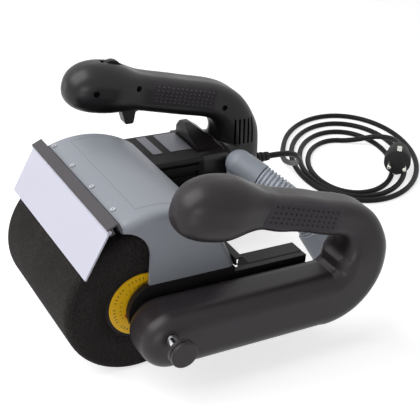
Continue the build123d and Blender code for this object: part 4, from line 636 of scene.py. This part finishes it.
# darker zinc for the screws' cross recesses: painted shade
screwHollow = grained("zincInShade", ("#65666a", "#77787c"), (0.4, 0.5), 0.6, 0.01, metallic=1.0, cloud=5)
# brushed aluminium: hair lines drawn out along the plate
bareAluminium = grained("brushedAluminium", ("#6a6b73", "#85868e"), (0.36, 0.48), 0.5, 0.01, metallic=0.6,
                        cloud=6, stretch=(0.05, 1, 1))
# inside the motor: speckled bronze, bands of sheet iron and copper wire, dull carbon
sintered = grained("sinteredBronze", ("#8a6a3f", "#a5814f"), (0.4, 0.55), 0.4, 0.02, metallic=1.0, cloud=5)
stackedIron = banded("stackedSheetIron", ("#4a4a4d", "#77777b"), 0.9, "Y", 0.45, 0.9)
woundCopper = banded("enamelledCopper", ("#7a3716", "#c2703a"), 0.8, "Z", 0.35, 0.8)
pressedCarbon = grained("pressedCarbon", ("#1f1f21", "#2f2f32"), (0.5, 0.6), 0.4, 0.03, cloud=4)
nickelBrass = grained("nickelledBrass", ("#c6c3bb", "#dad8d0"), (0.14, 0.24), 0.8, 0.005, metallic=1.0,
                      cloud=6)
# sand casting under a dark coat: a coarse skin
castDark = grained("coatedCasting", ("#3a3a3c", "#4b4b4e"), (0.5, 0.62), 2.2, 0.12, cloud=20)
# pressed rubber: matt
softRubber = grained("blackRubber", ("#1a191a", "#242324"), (0.6, 0.72), 1.2, 0.05, cloud=12, shine=0.3)
# grey mouldings: satin
greyAbs = grained("mouldedGreyAbs", ("#888e97", "#9399a2"), (0.44, 0.54), 1.0, 0.03)
greyPvc = grained("greyHosePvc", ("#9da3ad", "#acb2bc"), (0.4, 0.5), 1.4, 0.04, cloud=14)
# extruded PVC: smooth, low gloss
cordPvc = grained("blackCordPvc", ("#1b191b", "#252325"), (0.4, 0.5), 1.6, 0.03, cloud=18, shine=0.12)

dressed = {
    litBlackAbs: ["near_handle_inner_shell", "near_handle_outer_shell", "release_cap"],
    shadedHandleAbs: ["motor_handle_inner_shell", "motor_handle_outer_shell", "trigger", "speed_wheel",
                "wiring_cover"],
    shadedMotorAbs: ["motor_housing", "dust_duct", "cooling_fan", "switch_module", "drum_core"],
    hoodPaint: ["hood"],
    barPaint: ["front_channel"],
    darkPaint: ["rear_channel", "near_side_plate", "far_side_plate", "near_bracket", "motor_leg"],
    whitePlate: ["deflector_plate"],
    foamBlack: ["drum_sleeve"],
    yellowSheet: ["drum_label_disc"],
    turnedSteel: ["drum_key", "drive_shaft", "crown_gear", "pinion_gear", "armature_shaft",
                  "drive_shaft_bearing", "motor_bearings", "arm_bolts", "pivot_pins", "release_spring",
                  "trigger_spring"],
    zincBright: ["panel_screws", "hood_side_screws", "motor_screws", "handle_screws"],
    platedChrome: ["release_pin"],
    sintered: ["pilot_bush", "release_pin_bush"],
    stackedIron: ["armature_core", "stator_stack"],
    woundCopper: ["armature_winding_heads", "field_coils", "commutator"],
    pressedCarbon: ["carbon_brushes"],
    nickelBrass: ["brush_holders", "plug_pins"],
    castDark: ["gear_housing", "gear_cover"],
    softRubber: ["rear_flap", "rubber_feet", "strain_relief", "plug_body"],
    greyAbs: ["hose_elbow", "hose_end_cuff"],
    greyPvc: ["dust_hose"],
    cordPvc: ["cord_lead", "cord_coil"],
}
for material, names in dressed.items():
    for name in names:
        nodes[name].data.materials.clear()
        nodes[name].data.materials.append(material)
bare = sorted(set(nodes) - {name for names in dressed.values() for name in names})
print("dressed CAD nodes, left bare:", bare)
nearPad, *motorPads = gripPads
finishes = [(mainsCord, cordPvc), (hoseTube, greyPvc), (cordBoot, softRubber), (plugShell, softRubber),
            (plugStrips, nickelBrass), (foamRoll, foamBlack), (tickPrint, inkBlack), (bandPrint, inkRed),
            (ratingPlates, bareAluminium), (crossMarks, screwHollow), (crownFilm, filmFace, filmRim),
            (nearPad, padRubber, padHollowShade), *((pad, shadedGripRubber, padNubHighlight) for pad in motorPads),
            *((spring, turnedSteel) for spring in returnSprings)]
for piece, *finish in finishes:
    for material in finish:
        piece.data.materials.append(material)

# floor and light: a large soft key above the front, a low fill at the right, a weak lamp behind;
# each lamp has its place, its size in metres and its watts
studio = {"floor": "#c8c8ca", "key": (-0.2, -0.9, 1.3, 1.5, 27), "fill": (1.25, -0.9, 0.24, 0.6, 4.0),
          "back": (-0.3, 1.5, 1.2, 1.2, 1), "aim": (0, 0.05, 0.08), "sky": 0.16, "lift": 0.72,
          "reach": 6, "rough": 0.9, "shine": 0.1}


def lamp(name, x, y, z, size, power):
    data = bpy.data.lights.new(name, "AREA")
    data.size = size
    data.energy = power
    piece = bpy.data.objects.new(name, data)
    piece.location = (x, y, z)
    aim = Vector(studio["aim"]) - Vector((x, y, z))
    piece.rotation_euler = aim.to_track_quat("-Z", "Y").to_euler()
    world.collection.objects.link(piece)


for name in ("key", "fill", "back"):
    lamp(name + "Lamp", *studio[name])
floorBm = bmesh.new()
bmesh.ops.create_grid(floorBm, x_segments=1, y_segments=1, size=studio["reach"])
floorMesh = bpy.data.meshes.new("floor")
floorBm.to_mesh(floorMesh)
floorBm.free()
floor = bpy.data.objects.new("floor", floorMesh)
world.collection.objects.link(floor)
floorMaterial, floorTree, floorShader = newMaterial("paleFloor", {
    "Base Color": linear(studio["floor"]), "Roughness": studio["rough"],
    "Specular IOR Level": studio["shine"], "Emission Color": (1, 1, 1, 1)})
floorMesh.materials.append(floorMaterial)


# 1 where the eye, a mirror or glass looks, 0 for the light that falls on the object
def looking(tree):
    light = addNode(tree, "ShaderNodeLightPath").outputs
    seen = addNode(tree, "ShaderNodeMath", {}, {0: light["Is Camera Ray"], 1: light["Is Glossy Ray"]},
                   operation="MAXIMUM").outputs[0]
    return addNode(tree, "ShaderNodeMath", {}, {0: seen, 1: light["Is Transmission Ray"]},
                   operation="MAXIMUM").outputs[0]


lift = addNode(floorTree, "ShaderNodeMath", {1: studio["lift"]}, {0: looking(floorTree)},
               operation="MULTIPLY")
floorTree.links.new(lift.outputs[0], floorShader.inputs["Emission Strength"])
sky = bpy.data.worlds.new("paleSky")
world.world = sky
sky.use_nodes = True
skyTree = sky.node_tree
skyTree.nodes.clear()
bright = addNode(skyTree, "ShaderNodeMapRange", {"To Min": studio["sky"], "To Max": 1.0},
                 {"Value": looking(skyTree)})
glow = addNode(skyTree, "ShaderNodeBackground", {"Color": (1, 1, 1, 1)},
               {"Strength": bright.outputs["Result"]})
addNode(skyTree, "ShaderNodeOutputWorld", {}, {"Surface": glow.outputs["Background"]})
world.view_settings.view_transform = "Standard"
print("studio lit")
